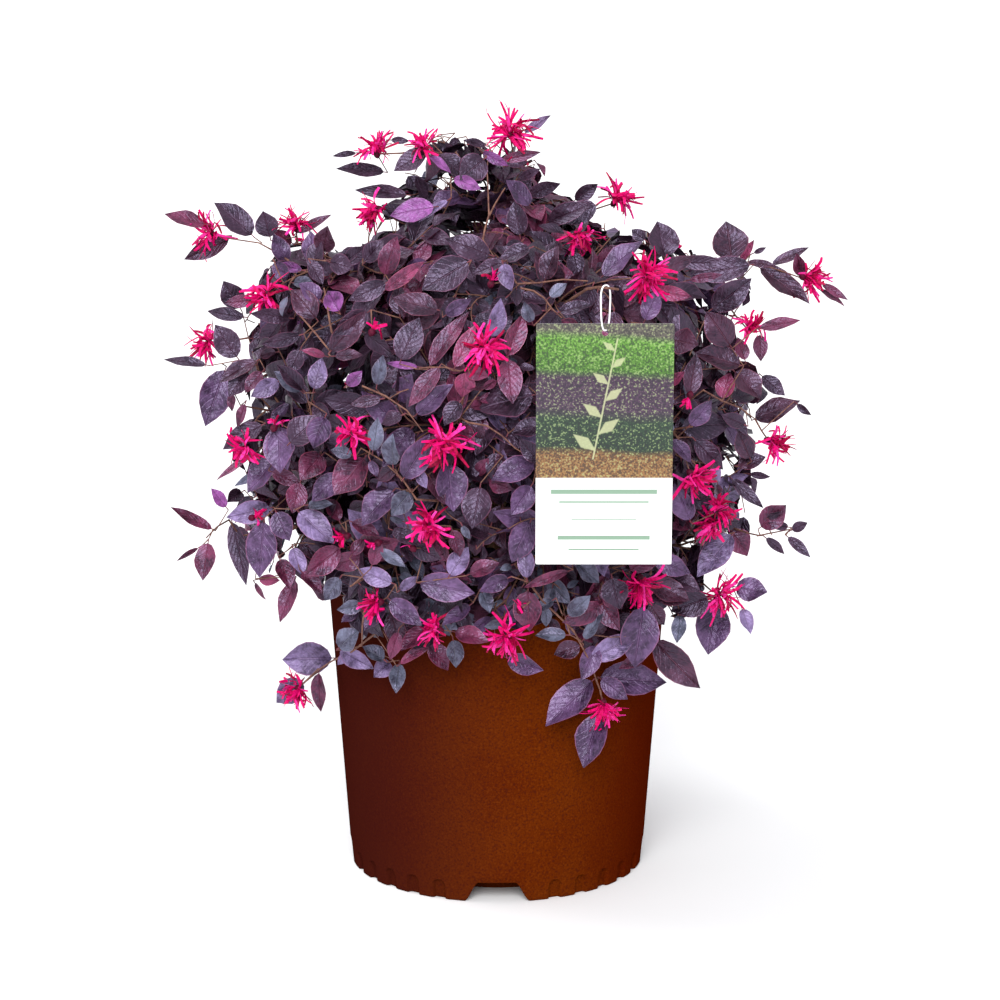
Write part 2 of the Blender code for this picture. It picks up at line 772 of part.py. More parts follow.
    def fuse(self, stem):
        """Joins all the pieces to the stem with one union and keeps the one body."""
        before = stem.data.copy()
        for solver in ("EXACT", "MANIFOLD"):
            join = stem.modifiers.new("fuse", "BOOLEAN")
            join.operation = "UNION"
            join.operand_type = "COLLECTION"
            join.collection = self.group
            join.solver = solver
            bpy.context.view_layer.update()
            with bpy.context.temp_override(object=stem, active_object=stem):
                bpy.ops.object.modifier_apply(modifier=join.name)
            if keep_largest(stem):
                break
            if solver == "EXACT":
                stem.data = before.copy()
        for obj in list(self.group.objects):
            mesh = obj.data
            bpy.data.objects.remove(obj, do_unlink=True)
            if mesh not in (self.leaf, self.blossom):
                bpy.data.meshes.remove(mesh)
        bpy.data.meshes.remove(before)


def keep_largest(obj):
    """Drops loose scraps and sealed hollows; tells whether the body left is closed."""
    bm = bmesh.new()
    bm.from_mesh(obj.data)
    seen = set()
    islands = []
    for first in bm.verts:
        if first in seen:
            continue
        seen.add(first)
        island = [first]
        for vert in island:
            for edge in vert.link_edges:
                other = edge.other_vert(vert)
                if other not in seen:
                    seen.add(other)
                    island.append(other)
        islands.append(island)
    islands.sort(key=len)
    loose = [vert for island in islands[:-1] for vert in island]
    bmesh.ops.delete(bm, geom=loose, context="VERTS")
    closed = all(len(edge.link_faces) == 2 for edge in bm.edges)
    bm.to_mesh(obj.data)
    bm.free()
    return closed


def plan_targets(masses):
    """Shares out the places that shoots grow to among the masses."""
    places = []
    for spots, kind in ((FRONT_BLOSSOMS, "blossom"), (LONG_SHOOTS, "long")):
        places += [(around(azimuth, reach, height), kind) for azimuth, height, reach in spots]
    for azimuth, height in crown_lattice(BACK_BLOSSOMS * 2):
        if 95.0 < azimuth < 265.0:
            places.append((crown_point(azimuth, height, 1.02), "blossom"))
    taken = [place for place, kind in places]
    for azimuth, height in crown_lattice(SHOOT_COUNT):
        point = crown_point(azimuth, height, SHOOT_DEPTH)
        if min((point - other).length for other in taken) > SHOOT_APART:
            places.append((point, "leafy"))
    shared = [[] for _ in masses]
    for point, kind in places:
        nearest = min(range(len(masses)), key=lambda k: (point - masses[k].centre).length)
        shared[nearest].append((point, kind))
    return shared


def tag_twig_place():
    """The point where the hang tag's loop hangs, and the way the twig runs there."""
    return Vector((TAG_X, TAG_Y, TAG_TWIG_Z)), around(TAG_TWIG_AZIMUTH, 1.0, 0.0)


def build_tag_twig(grower, own):
    """The twig that carries the hang tag: level where the loop hangs."""
    point, heading = tag_twig_place()
    stem = grower.masses[own].stem
    start = along(stem, 0.45)[0]
    before = point - heading * 0.014
    path = [start, start.lerp(before, 0.55) + Vector((0, 0, 0.006)), before]
    path += [point, point + heading * 0.012]
    wide, thin = TWIG_RADIUS * 1.1, TAG_TWIG_RADIUS
    return limb("tag_twig", path, [wide, wide, thin, thin, thin], 6, grower.group)


# Hang tag

def rounded_rectangle(width, height, corner, steps):
    """Outline of a rectangle with round corners, about its middle."""
    outline = []
    for k, (sx, sy) in enumerate(((1, 1), (-1, 1), (-1, -1), (1, -1))):
        for n in range(steps + 1):
            turn = math.pi / 2 * (k + n / steps)
            x = sx * (width / 2 - corner) + corner * math.cos(turn)
            y = sy * (height / 2 - corner) + corner * math.sin(turn)
            outline.append((x, y))
    return outline


def build_tag(parts):
    """A plain card with round corners and a hole for its loop."""
    hole_height = TAG_HEIGHT / 2 - TAG_HOLE_DROP
    turns = [math.tau * k / 12 + math.pi / 12 for k in range(12)]
    hole = [(TAG_HOLE * math.cos(t), hole_height + TAG_HOLE * math.sin(t)) for t in turns]
    card = rounded_rectangle(TAG_WIDTH, TAG_HEIGHT, TAG_CORNER, 4)
    tag = flat_plate("hang_tag", [card, hole], TAG_THICKNESS, parts)
    tag.location = (TAG_X, TAG_Y, TAG_TOP - TAG_HEIGHT / 2)
    tag.rotation_euler = (math.pi / 2, 0.0, 0.0)
    return tag


def build_loop(parts):
    """The closed loop over the twig and through the tag's hole."""
    point, heading = tag_twig_place()
    across = Vector((-heading.y, heading.x, 0.0))
    high = TAG_TWIG_Z + TAG_TWIG_RADIUS + GAP + LOOP_TUBE
    hole_top = TAG_TOP - TAG_HOLE_DROP + TAG_HOLE * math.cos(math.pi / 12)
    low = hole_top - GAP - LOOP_TUBE
    half = LOOP_WIDTH / 2
    curve = bpy.data.curves.new("tag_loop", "CURVE")
    curve.dimensions = "3D"
    curve.bevel_depth = LOOP_TUBE
    curve.bevel_resolution = 1
    spline = curve.splines.new("POLY")
    steps = 6
    ring = []
    for k in range(steps + 1):
        turn = math.pi * k / steps
        ring.append((half * math.cos(turn), high - half + half * math.sin(turn)))
    for k in range(steps + 1):
        turn = math.pi * (1 + k / steps)
        ring.append((half * math.cos(turn), low + half + half * math.sin(turn)))
    spline.points.add(len(ring) - 1)
    spline.use_cyclic_u = True
    for spot, (side, height) in zip(spline.points, ring):
        place = Vector((TAG_X, TAG_Y, 0.0)) + across * side
        spot.co = (place.x, place.y, height, 1.0)
    guide = bpy.data.objects.new("tag_loop_curve", curve)
    parts.objects.link(guide)
    bpy.context.view_layer.update()
    graph = bpy.context.evaluated_depsgraph_get()
    mesh = bpy.data.meshes.new_from_object(guide.evaluated_get(graph))
    place = guide.matrix_world.copy()
    bpy.data.objects.remove(guide, do_unlink=True)
    bm = bmesh.new()
    bm.from_mesh(mesh)
    bpy.data.meshes.remove(mesh)
    bmesh.ops.remove_doubles(bm, verts=bm.verts, dist=0.00001)
    bmesh.ops.recalc_face_normals(bm, faces=bm.faces)
    loop = mesh_object("tag_loop", bm, parts)
    loop.matrix_world = place
    return loop


def main():
    """Builds the plant in its pot."""
    clear_scene()
    parts = new_collection(OBJECT_NAME)
    cutters = new_collection("cutters")
    pieces = new_collection("pieces_to_fuse")
    root = bpy.data.objects.new("plant_root", None)
    parts.objects.link(root)

    plastic = material("pot_plastic", (0.130, 0.036, 0.012), 0.55)
    mix = material("potting_mix", (0.030, 0.020, 0.014), 0.95)
    bark = material("bark", (0.120, 0.072, 0.048), 0.85)
    foliage = material("plum_foliage", (0.080, 0.042, 0.110), 0.50)
    card = material("white_card", (0.850, 0.850, 0.830), 0.50)
    cord = material("white_loop", (0.880, 0.880, 0.880), 0.45)

    finish(build_pot(parts, cutters), plastic, root)
    finish(build_soil(parts), mix, root)
    trunk, seat = build_trunk(parts, cutters)
    finish(trunk, bark, root)
    masses = plan_masses()
    for bough in build_boughs(masses, parts, seat):
        finish(bough, bark, root)

    grower = Grower(masses, Clearances(masses), leaf_mesh(), blossom_mesh(), pieces)
    carrier = next(k for k, mass in enumerate(masses) if mass.name == "upper_1")
    for own, targets in enumerate(plan_targets(masses)):
        twigs = [build_tag_twig(grower, own)] if own == carrier else []
        finish(grower.grow(own, targets, parts, twigs), foliage, root)
    bpy.data.collections.remove(pieces)
    for mesh in (grower.leaf, grower.blossom):
        bpy.data.meshes.remove(mesh)

    finish(build_tag(parts), card, root)
    finish(build_loop(parts), cord, root)


main()
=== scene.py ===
"""Looks of a Chinese fringe flower shrub with plum leaves and pink strap petals, in its brown pot.

Metres, +Z up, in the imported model's own frame. The front is -Y. Azimuths are in degrees from the
front, positive towards +X.
"""

import logging
import math
import random
from collections.abc import Iterable
from dataclasses import dataclass, field
from enum import Enum

import bmesh
import bpy
import numpy as np
from mathutils import Matrix, Vector
from mathutils.kdtree import KDTree


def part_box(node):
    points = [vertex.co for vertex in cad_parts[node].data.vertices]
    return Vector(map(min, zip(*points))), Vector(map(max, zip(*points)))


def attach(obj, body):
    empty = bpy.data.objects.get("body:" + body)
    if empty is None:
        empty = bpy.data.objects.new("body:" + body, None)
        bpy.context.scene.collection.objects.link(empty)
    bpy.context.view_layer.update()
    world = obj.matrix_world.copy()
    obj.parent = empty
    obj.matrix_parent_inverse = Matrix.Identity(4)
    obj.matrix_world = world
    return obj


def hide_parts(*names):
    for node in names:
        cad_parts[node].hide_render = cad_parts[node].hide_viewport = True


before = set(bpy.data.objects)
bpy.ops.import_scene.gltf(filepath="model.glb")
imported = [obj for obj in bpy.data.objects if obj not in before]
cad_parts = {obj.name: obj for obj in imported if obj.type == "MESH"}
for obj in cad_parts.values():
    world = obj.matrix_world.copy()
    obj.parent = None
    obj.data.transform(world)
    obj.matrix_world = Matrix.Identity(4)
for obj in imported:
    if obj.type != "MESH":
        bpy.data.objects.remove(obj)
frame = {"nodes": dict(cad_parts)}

log = logging.getLogger("shrub")

BODY = "root"
SEED = 7
UP = Vector((0.0, 0.0, 1.0))
GOLDEN_ANGLE = 137.508

Colour = tuple[float, float, float]
Path = list[Vector]
Numbers = tuple[float, ...]
Pairs = tuple[tuple[float, float], ...]


def srgb(red: float, green: float, blue: float) -> Colour:
    """Turns a colour of 0 to 255 a channel, as seen on a screen, into linear light.

    Args:
        red: Red channel.
        green: Green channel.
        blue: Blue channel.

    Returns:
        The linear colour.
    """
    linear = []
    for channel in (red, green, blue):
        share = channel / 255.0
        linear.append(share / 12.92 if share <= 0.04045 else ((share + 0.055) / 1.055) ** 2.4)
    return linear[0], linear[1], linear[2]


def around(azimuth: float, reach: float, height: float) -> Vector:
    """Finds a point about the plant's upright axis.

    Args:
        azimuth: Degrees from the front, positive towards +X.
        reach: Distance from the axis.
        height: Height above the floor.

    Returns:
        The point.
    """
    turn = math.radians(azimuth)
    return Vector((reach * math.sin(turn), -reach * math.cos(turn), height))


def bent(start: Vector, control: Vector, end: Vector, count: int) -> Path:
    """Draws one smooth bend.

    Args:
        start: First point.
        control: Point that the bend is drawn towards.
        end: Last point.
        count: Number of points.

    Returns:
        The points along the bend.
    """
    path = []
    for k in range(count):
        t = k / (count - 1)
        path.append(start * (1 - t) ** 2 + control * (2 * t * (1 - t)) + end * t * t)
    return path


def length_of(path: Path) -> float:
    """Length along a path."""
    return sum((b - a).length for a, b in zip(path, path[1:]))


def along(path: Path, share: float) -> tuple[Vector, Vector]:
    """Finds a place on a path.

    Args:
        path: The points.
        share: Share of the path's length, 0 to 1.

    Returns:
        The point and the direction there.
    """
    lengths = [(b - a).length for a, b in zip(path, path[1:])]
    left = share * sum(lengths)
    for a, b, length in zip(path, path[1:], lengths):
        if left <= length or b is path[-1]:
            return a.lerp(b, min(1.0, left / length)), (b - a).normalized()
        left -= length
    return path[-1].copy(), (path[-1] - path[-2]).normalized()


def jitter(rng: random.Random, size: float) -> Vector:
    """A small seeded vector."""
    return Vector((rng.uniform(-size, size), rng.uniform(-size, size), rng.uniform(-size, size)))


def rows_of(vectors: Iterable[Vector]) -> np.ndarray:
    """Vectors as the rows of an array."""
    return np.array([tuple(vector) for vector in vectors])


def select_only(piece: bpy.types.Object) -> None:
    """Selects one piece and makes it the active one."""
    bpy.ops.object.select_all(action="DESELECT")
    piece.select_set(True)
    bpy.context.view_layer.objects.active = piece


def smooth_by_angle(piece: bpy.types.Object, degrees: float) -> None:
    """Shades a piece smooth except at its sharp edges."""
    select_only(piece)
    bpy.ops.object.shade_smooth_by_angle(angle=math.radians(degrees))


def soft_step(values: np.ndarray, low: float, high: float) -> np.ndarray:
    """Rises smoothly from 0 at low to 1 at high."""
    share = np.clip((values - low) / (high - low), 0.0, 1.0)
    return share * share * (3.0 - 2.0 * share)


# Shader maths


class Value:
    """One output of a shader node, with the arithmetic that patterns are written in."""

    def __init__(self, graph: "Graph", socket: bpy.types.NodeSocket) -> None:
        """Wraps a node's output.

        Args:
            graph: The graph that the node is in.
            socket: The output.
        """
        self.graph = graph
        self.socket = socket

    def other(self, output: str) -> "Value":
        """Another output of the same node."""
        return Value(self.graph, self.socket.node.outputs[output])

    def math(self, operation: str, first: "Value | float", second: "Value | float" = 0.0) -> "Value":
        """Adds one Math node.

        Args:
            operation: The node's operation.
            first: First value.
            second: Second value.

        Returns:
            The result.
        """
        return self.graph.node("ShaderNodeMath", {"operation": operation}, {0: first, 1: second})

    def __add__(self, term: "Value | float") -> "Value":
        """Sum."""
        return self.math("ADD", self, term)

    __radd__ = __add__

    def __sub__(self, term: "Value | float") -> "Value":
        """Difference."""
        return self.math("SUBTRACT", self, term)

    def __rsub__(self, term: float) -> "Value":
        """Difference from a number."""
        return self.math("SUBTRACT", term, self)

    def __mul__(self, term: "Value | float") -> "Value":
        """Product."""
        return self.math("MULTIPLY", self, term)

    __rmul__ = __mul__

    def __truediv__(self, term: "Value | float") -> "Value":
        """Quotient."""
        return self.math("DIVIDE", self, term)

    def __abs__(self) -> "Value":
        """Size without sign."""
        return self.math("ABSOLUTE", self)

    def at_least(self, term: "Value | float") -> "Value":
        """The larger of two values."""
        return self.math("MAXIMUM", self, term)

    def fraction(self) -> "Value":
        """The part after the decimal point."""
        return self.math("FRACT", self)

    def step(self, low: float, high: float) -> "Value":
        """Rises smoothly from 0 to 1.

        Args:
            low: Value where the result leaves 0.
            high: Value where the result reaches 1.

        Returns:
            The smooth step.
        """
        settings = {"interpolation_type": "SMOOTHSTEP"}
        return self.graph.node("ShaderNodeMapRange", settings, {0: self, 1: low, 2: high})

    def below(self, edge: float, soft: float) -> "Value":
        """1 under an edge and 0 over it, with a soft change."""
        return 1.0 - self.step(edge - soft, edge + soft)


class Graph:
    """A material's node graph, written as expressions."""

    def __init__(self, name: str) -> None:
        """Starts a material.

        Args:
            name: The material's name.
        """
        self.material = bpy.data.materials.new(name)
        self.material.use_nodes = True
        self.tree = self.material.node_tree
        self.shader = self.tree.nodes["Principled BSDF"]

    def node(self, kind: str, settings: dict, values: dict, output: int | str = 0) -> Value:
        """Adds any node.

        Args:
            kind: The node's type.
            settings: Its settings, with a ramp's stops under "stops". They are set first.
            values: Numbers, colours or links for its inputs, by name or number.
            output: The output that is wanted.

        Returns:
            That output.
        """
        made = self.tree.nodes.new(kind)
        for name, setting in settings.items():
            if name == "stops":
                self.set_stops(made.color_ramp, setting)
            else:
                setattr(made, name, setting)
        for name, value in values.items():
            self.feed(made.inputs[name], value)
        return Value(self, made.outputs[output])

    def set_stops(self, ramp: bpy.types.ColorRamp, stops: list[tuple[float, Colour]]) -> None:
        """Sets a ramp's stops.

        Args:
            ramp: The ramp.
            stops: Positions and colours, in order.
        """
        while len(ramp.elements) < len(stops):
            ramp.elements.new(0.5)
        for element, (position, colour) in zip(ramp.elements, stops):
            element.position = position
            element.color = (*colour, 1.0)

    def feed(self, socket: bpy.types.NodeSocket, value: object) -> None:
        """Sets or links an input.

        Args:
            socket: The input.
            value: A Value to link, or a number, colour or vector to set.
        """
        if isinstance(value, Value):
            self.tree.links.new(value.socket, socket)
        elif socket.type == "RGBA":
            socket.default_value = (*value, 1.0)
        else:
            socket.default_value = value

    def place(self) -> Value:
        """Object coordinates, which are the frame's own here."""
        return self.node("ShaderNodeTexCoord", {}, {}, "Object")

    def split(self, vector: Value) -> Value:
        """Separates a vector; the result is X, and its other outputs are Y and Z."""
        return self.node("ShaderNodeSeparateXYZ", {}, {0: vector})

    def noise(self, scale: float, detail: float = 2.0, stretch: Colour = (1.0, 1.0, 1.0)) -> Value:
        """Adds cloudy noise about one half.

        Args:
            scale: Patches to the metre.
            detail: Number of finer layers.
            stretch: Scale along each axis.

        Returns:
            The noise's value.
        """
        spot = self.node("ShaderNodeMapping", {}, {"Vector": self.place(), "Scale": stretch})
        values = {"Vector": spot, "Scale": scale, "Detail": detail}
        return self.node("ShaderNodeTexNoise", {}, values)

    def mix(self, base: "Value | Colour", other: "Value | Colour", share: "Value | float") -> Value:
        """Mixes two colours.

        Args:
            base: Colour where the share is 0.
            other: Colour where the share is 1.
            share: Share of the second colour.

        Returns:
            The mixed colour.
        """
        return self.node("ShaderNodeMix", {"data_type": "RGBA"}, {0: share, 6: base, 7: other}, 2)

    def bump(self, height: Value, strength: float, distance: float) -> Value:
        """Turns a height into a normal.

        Args:
            height: The relief, 0 to 1.
            strength: Strength of the relief.
            distance: Depth of the relief in metres.

        Returns:
            The normal.
        """
        values = {"Height": height, "Strength": strength, "Distance": distance}
        return self.node("ShaderNodeBump", {}, values)

    def finish(self, inputs: dict) -> bpy.types.Material:
        """Feeds the surface shader's inputs and hands over the material."""
        for name, value in inputs.items():
            self.feed(self.shader.inputs[name], value)
        return self.material


# Finishes


@dataclass(frozen=True)
class LeafFinish:
    """One tint of leaf: waxy upper side with paler veins and rim and painted sheen in lighter bluish
    patches, and a dull underside.
    """

    name: str
    upper: Colour
    under: Colour
    vein: Colour
    rim: Colour
    sheen: Colour = (0.74, 0.62, 0.94)
    gloss: float = 0.32
    dark_share: Colour = (0.28, 0.25, 0.29)
    painted_sheen_share: Colour = (2.02, 2.20, 2.20)
    sheen_patch_scale: float = 34.0
    swell_scale: float = 95.0
    mottle_scale: float = 170.0
    grain_scale: float = 520.0
    under_grain_scale: float = 700.0
    side_vein_count: float = 7.5
    side_vein_slant: float = 2.4

    def veins(self, graph: Graph) -> tuple[Value, Value, Value]:
        """Draws the blade's veins on its own map.

        Args:
            graph: The material's graph.

        Returns:
            The midrib, the side veins and the rim, each 0 to 1.
        """
        blade = graph.split(graph.node("ShaderNodeUVMap", {"uv_map": "blade"}, {}))
        side = abs(blade.other("Y") - 0.5) * 2.0
        midrib = side.below(0.045, 0.035)
        wave = (blade * self.side_vein_count - side * self.side_vein_slant).fraction()
        side_veins = abs(wave - 0.5).below(0.10, 0.09) * side.below(0.90, 0.08)
        rim = side.step(0.91, 0.98)
        return midrib, side_veins, rim

    def upper_side(self) -> bpy.types.Material:
        """The waxy side of the leaf, with painted sheen in lighter bluish patches."""
        graph = Graph(self.name + "_upper")
        midrib, side_veins, rim = self.veins(graph)
        # Painted sheen: broad and fine noise lifts the tone from a darker copy towards a lighter, bluer
        # copy of the leaf's colour.
        dark = tuple(tone * share for tone, share in zip(self.upper, self.dark_share))
        light = tuple(tone * share for tone, share in zip(self.upper, self.painted_sheen_share))
        mottle = graph.noise(self.mottle_scale, 3.0)
        bloom = graph.noise(self.sheen_patch_scale)
        grain = graph.noise(self.grain_scale)
        share = mottle.step(0.40, 0.62) * 0.34 + bloom.step(0.44, 0.60) * 0.46
        tone = graph.mix(dark, light, share + grain.step(0.36, 0.64) * 0.20)
        tone = graph.mix(tone, self.vein, side_veins * 0.20)
        tone = graph.mix(tone, self.vein, midrib * 0.55)
        tone = graph.mix(tone, self.rim, rim * 0.70)
        swell = graph.noise(self.swell_scale)
        height = (1.0 - side_veins * 0.26 - midrib) * 0.7 + grain * 0.5 + swell * 1.8
        return graph.finish({
            "Base Color": tone,
            "Roughness": self.gloss - 0.08 + mottle * 0.16,
            "Specular IOR Level": 0.62,
            "Specular Tint": self.sheen,
            "Normal": graph.bump(height, 0.9, 0.0010),
        })

    def under_side(self) -> bpy.types.Material:
        """The dull side of the leaf, with its veins standing out."""
        graph = Graph(self.name + "_under")
        midrib, side_veins, rim = self.veins(graph)
        tone = graph.mix(self.under, self.vein, side_veins * 0.25 + midrib * 0.5)
        tone = graph.mix(tone, self.rim, rim * 0.25)
        height = side_veins * 0.5 + midrib + graph.noise(self.under_grain_scale) * 0.3
        return graph.finish({
            "Base Color": tone,
            "Roughness": 0.68,
            "Specular IOR Level": 0.25,
            "Normal": graph.bump(height, 0.5, 0.0006),
        })


@dataclass(frozen=True)
class PetalFinish:
    """One shade of petal, with fine streaks and a soft surface."""

    name: str
    tone: Colour
    deep: Colour
    streak_scale: float = 420.0

    def material(self) -> bpy.types.Material:
        """The petal's surface."""
        graph = Graph(self.name)
        streaks = graph.noise(self.streak_scale, 3.0)
        return graph.finish({
            "Base Color": graph.mix(self.deep, self.tone, streaks.step(0.30, 0.58)),
            "Roughness": 0.50 + streaks * 0.15,
            "Specular IOR Level": 0.14,
            "Normal": graph.bump(streaks, 0.35, 0.0004),
        })


@dataclass(frozen=True)
class BarkFinish:
    """Bark of one age: patchy, with fine cracks that run up the limb."""

    name: str
    light: Colour
    dark: Colour
    scale: float
    relief: float

    def material(self) -> bpy.types.Material:
        """The bark's surface."""
        graph = Graph(self.name)
        patches = graph.noise(self.scale, 4.0)
        cracks = graph.noise(self.scale * 4.0, 3.0, (1.0, 1.0, 0.25))
        share = patches.step(0.35, 0.65) * 0.6 + cracks.step(0.35, 0.62) * 0.4
        return graph.finish({
            "Base Color": graph.mix(self.dark, self.light, share),
            "Roughness": 0.72 + cracks * 0.2,
            "Specular IOR Level": 0.25,
            "Normal": graph.bump(cracks * 0.7 + patches * 0.3, 0.8, self.relief),
        })


@dataclass(frozen=True)
class PotFinish:
    """Moulded brown plastic with a fine speckle and a faint stipple, and painted shade that darkens its
    left and right sides.
    """

    base: Colour = srgb(84, 32, 4)
    speck: Colour = srgb(100, 44, 8)
    # The dark speck colour also paints shade on the left side, and the cloud colour also paints shade on
    # the right side.
    dark_speck_and_left_painted_shade: Colour = srgb(48, 13, 12)
    cloud_tone_and_right_painted_shade: Colour = srgb(66, 10, 1)
    radius: float = 0.14
    cloud_scale: float = 16.0
    speck_scale: float = 620.0
    stipple_scale: float = 1100.0

    def material(self) -> bpy.types.Material:
        """The plastic's surface, with painted shade at its sides."""
        graph = Graph("pot_plastic_moulded")
        specks = graph.noise(self.speck_scale)
        clouds = graph.noise(self.cloud_scale)
        tone = graph.mix(self.base, self.cloud_tone_and_right_painted_shade, clouds.step(0.35, 0.75) * 0.35)
        tone = graph.mix(tone, self.speck, specks.step(0.50, 0.72) * 0.55)
        tone = graph.mix(tone, self.dark_speck_and_left_painted_shade, specks.below(0.40, 0.08) * 0.50)
        # Painted shade: the wall darkens towards -X and towards +X, by its place across the pot.
        aside = graph.split(graph.place()) * (1.0 / self.radius)
        tone = graph.mix(tone, self.dark_speck_and_left_painted_shade, (0.30 - aside).step(0.0, 1.1) * 0.85)
        tone = graph.mix(tone, self.cloud_tone_and_right_painted_shade, aside.step(0.35, 0.95) * 0.80)
        stipple = graph.noise(self.stipple_scale)
        return graph.finish({
            "Base Color": tone,
            "Roughness": 0.58 + stipple * 0.16,
            "Specular IOR Level": 0.0,
            "Normal": graph.bump(stipple, 0.28, 0.0004),
        })


@dataclass(frozen=True)
class MixFinish:
    """Damp potting mix or a bark chip in it."""

    name: str
    dark: Colour
    light: Colour
    crumb_scale: float = 260.0
    fibre_scale: float = 90.0

    def material(self) -> bpy.types.Material:
        """The crumbly surface."""
        graph = Graph(self.name)
        crumbs = graph.noise(self.crumb_scale, 5.0)
        fibres = graph.noise(self.fibre_scale, 3.0, (1.0, 1.0, 3.0))
        return graph.finish({
            "Base Color": graph.mix(self.dark, self.light, crumbs.step(0.38, 0.70)),
            "Roughness": 0.86 + fibres * 0.12,
            "Specular IOR Level": 0.2,
            "Normal": graph.bump(crumbs * 0.7 + fibres * 0.3, 0.9, 0.0015),
        })


@dataclass(frozen=True)
class ThreadFinish:
    """White braided thread of the tag's loop."""

    light: Colour = srgb(250, 250, 250)
    dark: Colour = srgb(226, 226, 228)
    braid_scale: float = 1500.0

    def material(self) -> bpy.types.Material:
        """The thread's surface."""
        graph = Graph("loop_thread")
        braid = graph.noise(self.braid_scale, 2.0, (1.0, 1.0, 2.0))
        return graph.finish({
            "Base Color": graph.mix(self.dark, self.light, braid),
            "Roughness": 0.45 + braid * 0.15,
            "Normal": graph.bump(braid, 0.5, 0.0002),
        })


@dataclass(frozen=True)
class CardFinish:
    """Printed card: soft diagonal bands with a pale leaf spray, over white with plain rules."""

    low: Vector
    high: Vector
    print_share: float = 0.3625
    edge: float = 0.00002
    tallness: float = 1.785
    leaf_count: int = 7
    first_rise: float = 0.49
    leaf_rise: float = 0.066
    leaf_size: float = 0.105
    size_fall: float = 0.008
    stem_middle: float = 0.68
    stem_lean: float = 0.35
    rule_rows: tuple = (
        (0.305, 0.39, 0.010), (0.262, 0.33, 0.004), (0.190, 0.24, 0.003),
        (0.112, 0.34, 0.009), (0.062, 0.26, 0.004),
    )
    band_low: float = 0.42
    band_span: float = 0.63
    band_stops: tuple = (
        (0.00, srgb(132, 92, 52)), (0.13, srgb(120, 82, 46)), (0.18, srgb(24, 46, 30)),
        (0.36, srgb(30, 54, 36)), (0.44, srgb(66, 40, 66)), (0.64, srgb(60, 34, 60)),
        (0.69, srgb(62, 104, 26)), (0.88, srgb(84, 132, 40)), (0.93, srgb(84, 78, 70)),
    )

    def leaf_spray(self, across: Value, up: Value) -> Value:
        """Draws a spray of pointed leaves on a slanting stem.

        Args:
            across: Place across the card, 0 to 1.
            up: Place up the card, 0 to 1.

        Returns:
            1 on the spray and 0 off it.
        """
        mask = None
        for k in range(self.leaf_count):
            rise = self.first_rise + self.leaf_rise * k
            middle = 0.50 + self.stem_lean * (rise - self.stem_middle)
            side = 1.0 if k % 2 else -1.0
            size = self.leaf_size - self.size_fall * k
            x = across - (middle + side * size * 0.75)
            z = (up - (rise + 0.020)) * self.tallness
            run = x * (0.80 * side) + z * 0.60
            off = z * 0.80 - x * (0.60 * side)
            width = 1.0 - abs(run) * (1.0 / size)
            leaf = (abs(off) - width.at_least(0.0) * size * 0.42).below(0.0, 0.006)
            leaf = leaf * abs(run).below(size, 0.004)
            mask = leaf if mask is None else mask.at_least(leaf)
        stem = abs(across - 0.50 - (up - self.stem_middle) * self.stem_lean).below(0.006, 0.003)
        stem = stem * abs(up - 0.69).below(0.25, 0.003)
        return mask.at_least(stem)

    def rules(self, across: Value, up: Value) -> Value:
        """Draws the plain rules on the white part.

        Args:
            across: Place across the card, 0 to 1.
            up: Place up the card, 0 to 1.

        Returns:
            1 on a rule and 0 off it.
        """
        mask = None
        for height, half, thick in self.rule_rows:
            line = abs(up - height).below(thick, 0.0015) * abs(across - 0.5).below(half, 0.003)
            mask = line if mask is None else mask.at_least(line)
        return mask

    def material(self) -> bpy.types.Material:
        """The card's two sides: printed towards the front and plain behind."""
        graph = Graph("hang_tag_card")
        spot = graph.split(graph.place())
        across = (spot - self.low.x) / (self.high.x - self.low.x)
        up = (spot.other("Z") - self.low.z) / (self.high.z - self.low.z)
        slant = up + across * 0.03 + graph.noise(22.0) * 0.06
        height = (slant - self.band_low) / self.band_span
        bands = graph.node("ShaderNodeValToRGB", {"stops": self.band_stops}, {0: height})
        leaves = graph.noise(760.0)
        tone = graph.mix(bands, srgb(22, 24, 28), leaves.below(0.46, 0.06) * 0.70)
        tone = graph.mix(tone, srgb(158, 176, 120), leaves.step(0.56, 0.66) * 0.45)
        tone = graph.mix(tone, srgb(176, 180, 138), self.leaf_spray(across, up) * 0.7)
        paper = graph.mix(srgb(250, 250, 248), srgb(242, 242, 240), graph.noise(60.0))
        plain = graph.mix(paper, srgb(70, 118, 84), self.rules(across, up) * 0.85)
        front = graph.mix(plain, tone, up.step(self.print_share - 0.001, self.print_share + 0.001))
        middle = (self.low.y + self.high.y) / 2
        face = spot.other("Y").below(middle, self.edge)
        fibre = graph.noise(1300.0)
        return graph.finish({
            "Base Color": graph.mix(paper, front, face),
            "Roughness": 0.34 + fibre * 0.08,
            "Normal": graph.bump(fibre, 0.15, 0.0001),
        })


@dataclass(frozen=True)
class FloorFinish:
    """Plain white studio floor."""

    dark: Colour = (0.85, 0.85, 0.85)
    light: Colour = (0.87, 0.87, 0.87)

    def material(self) -> bpy.types.Material:
        """The floor's surface."""
        graph = Graph("studio_floor")
        return graph.finish({
            "Base Color": graph.mix(self.dark, self.light, graph.noise(3.0)),
            "Roughness": 0.85,
            "Specular IOR Level": 0.1,
        })


# Meshes from arrays


@dataclass
class UnitShape:
    """The faces of a small shape that is repeated, with its map and materials."""

    faces: list[tuple[int, ...]]
    spots: np.ndarray | None = None
    face_materials: list[int] | None = None
    sharp_angle: float = 58.0


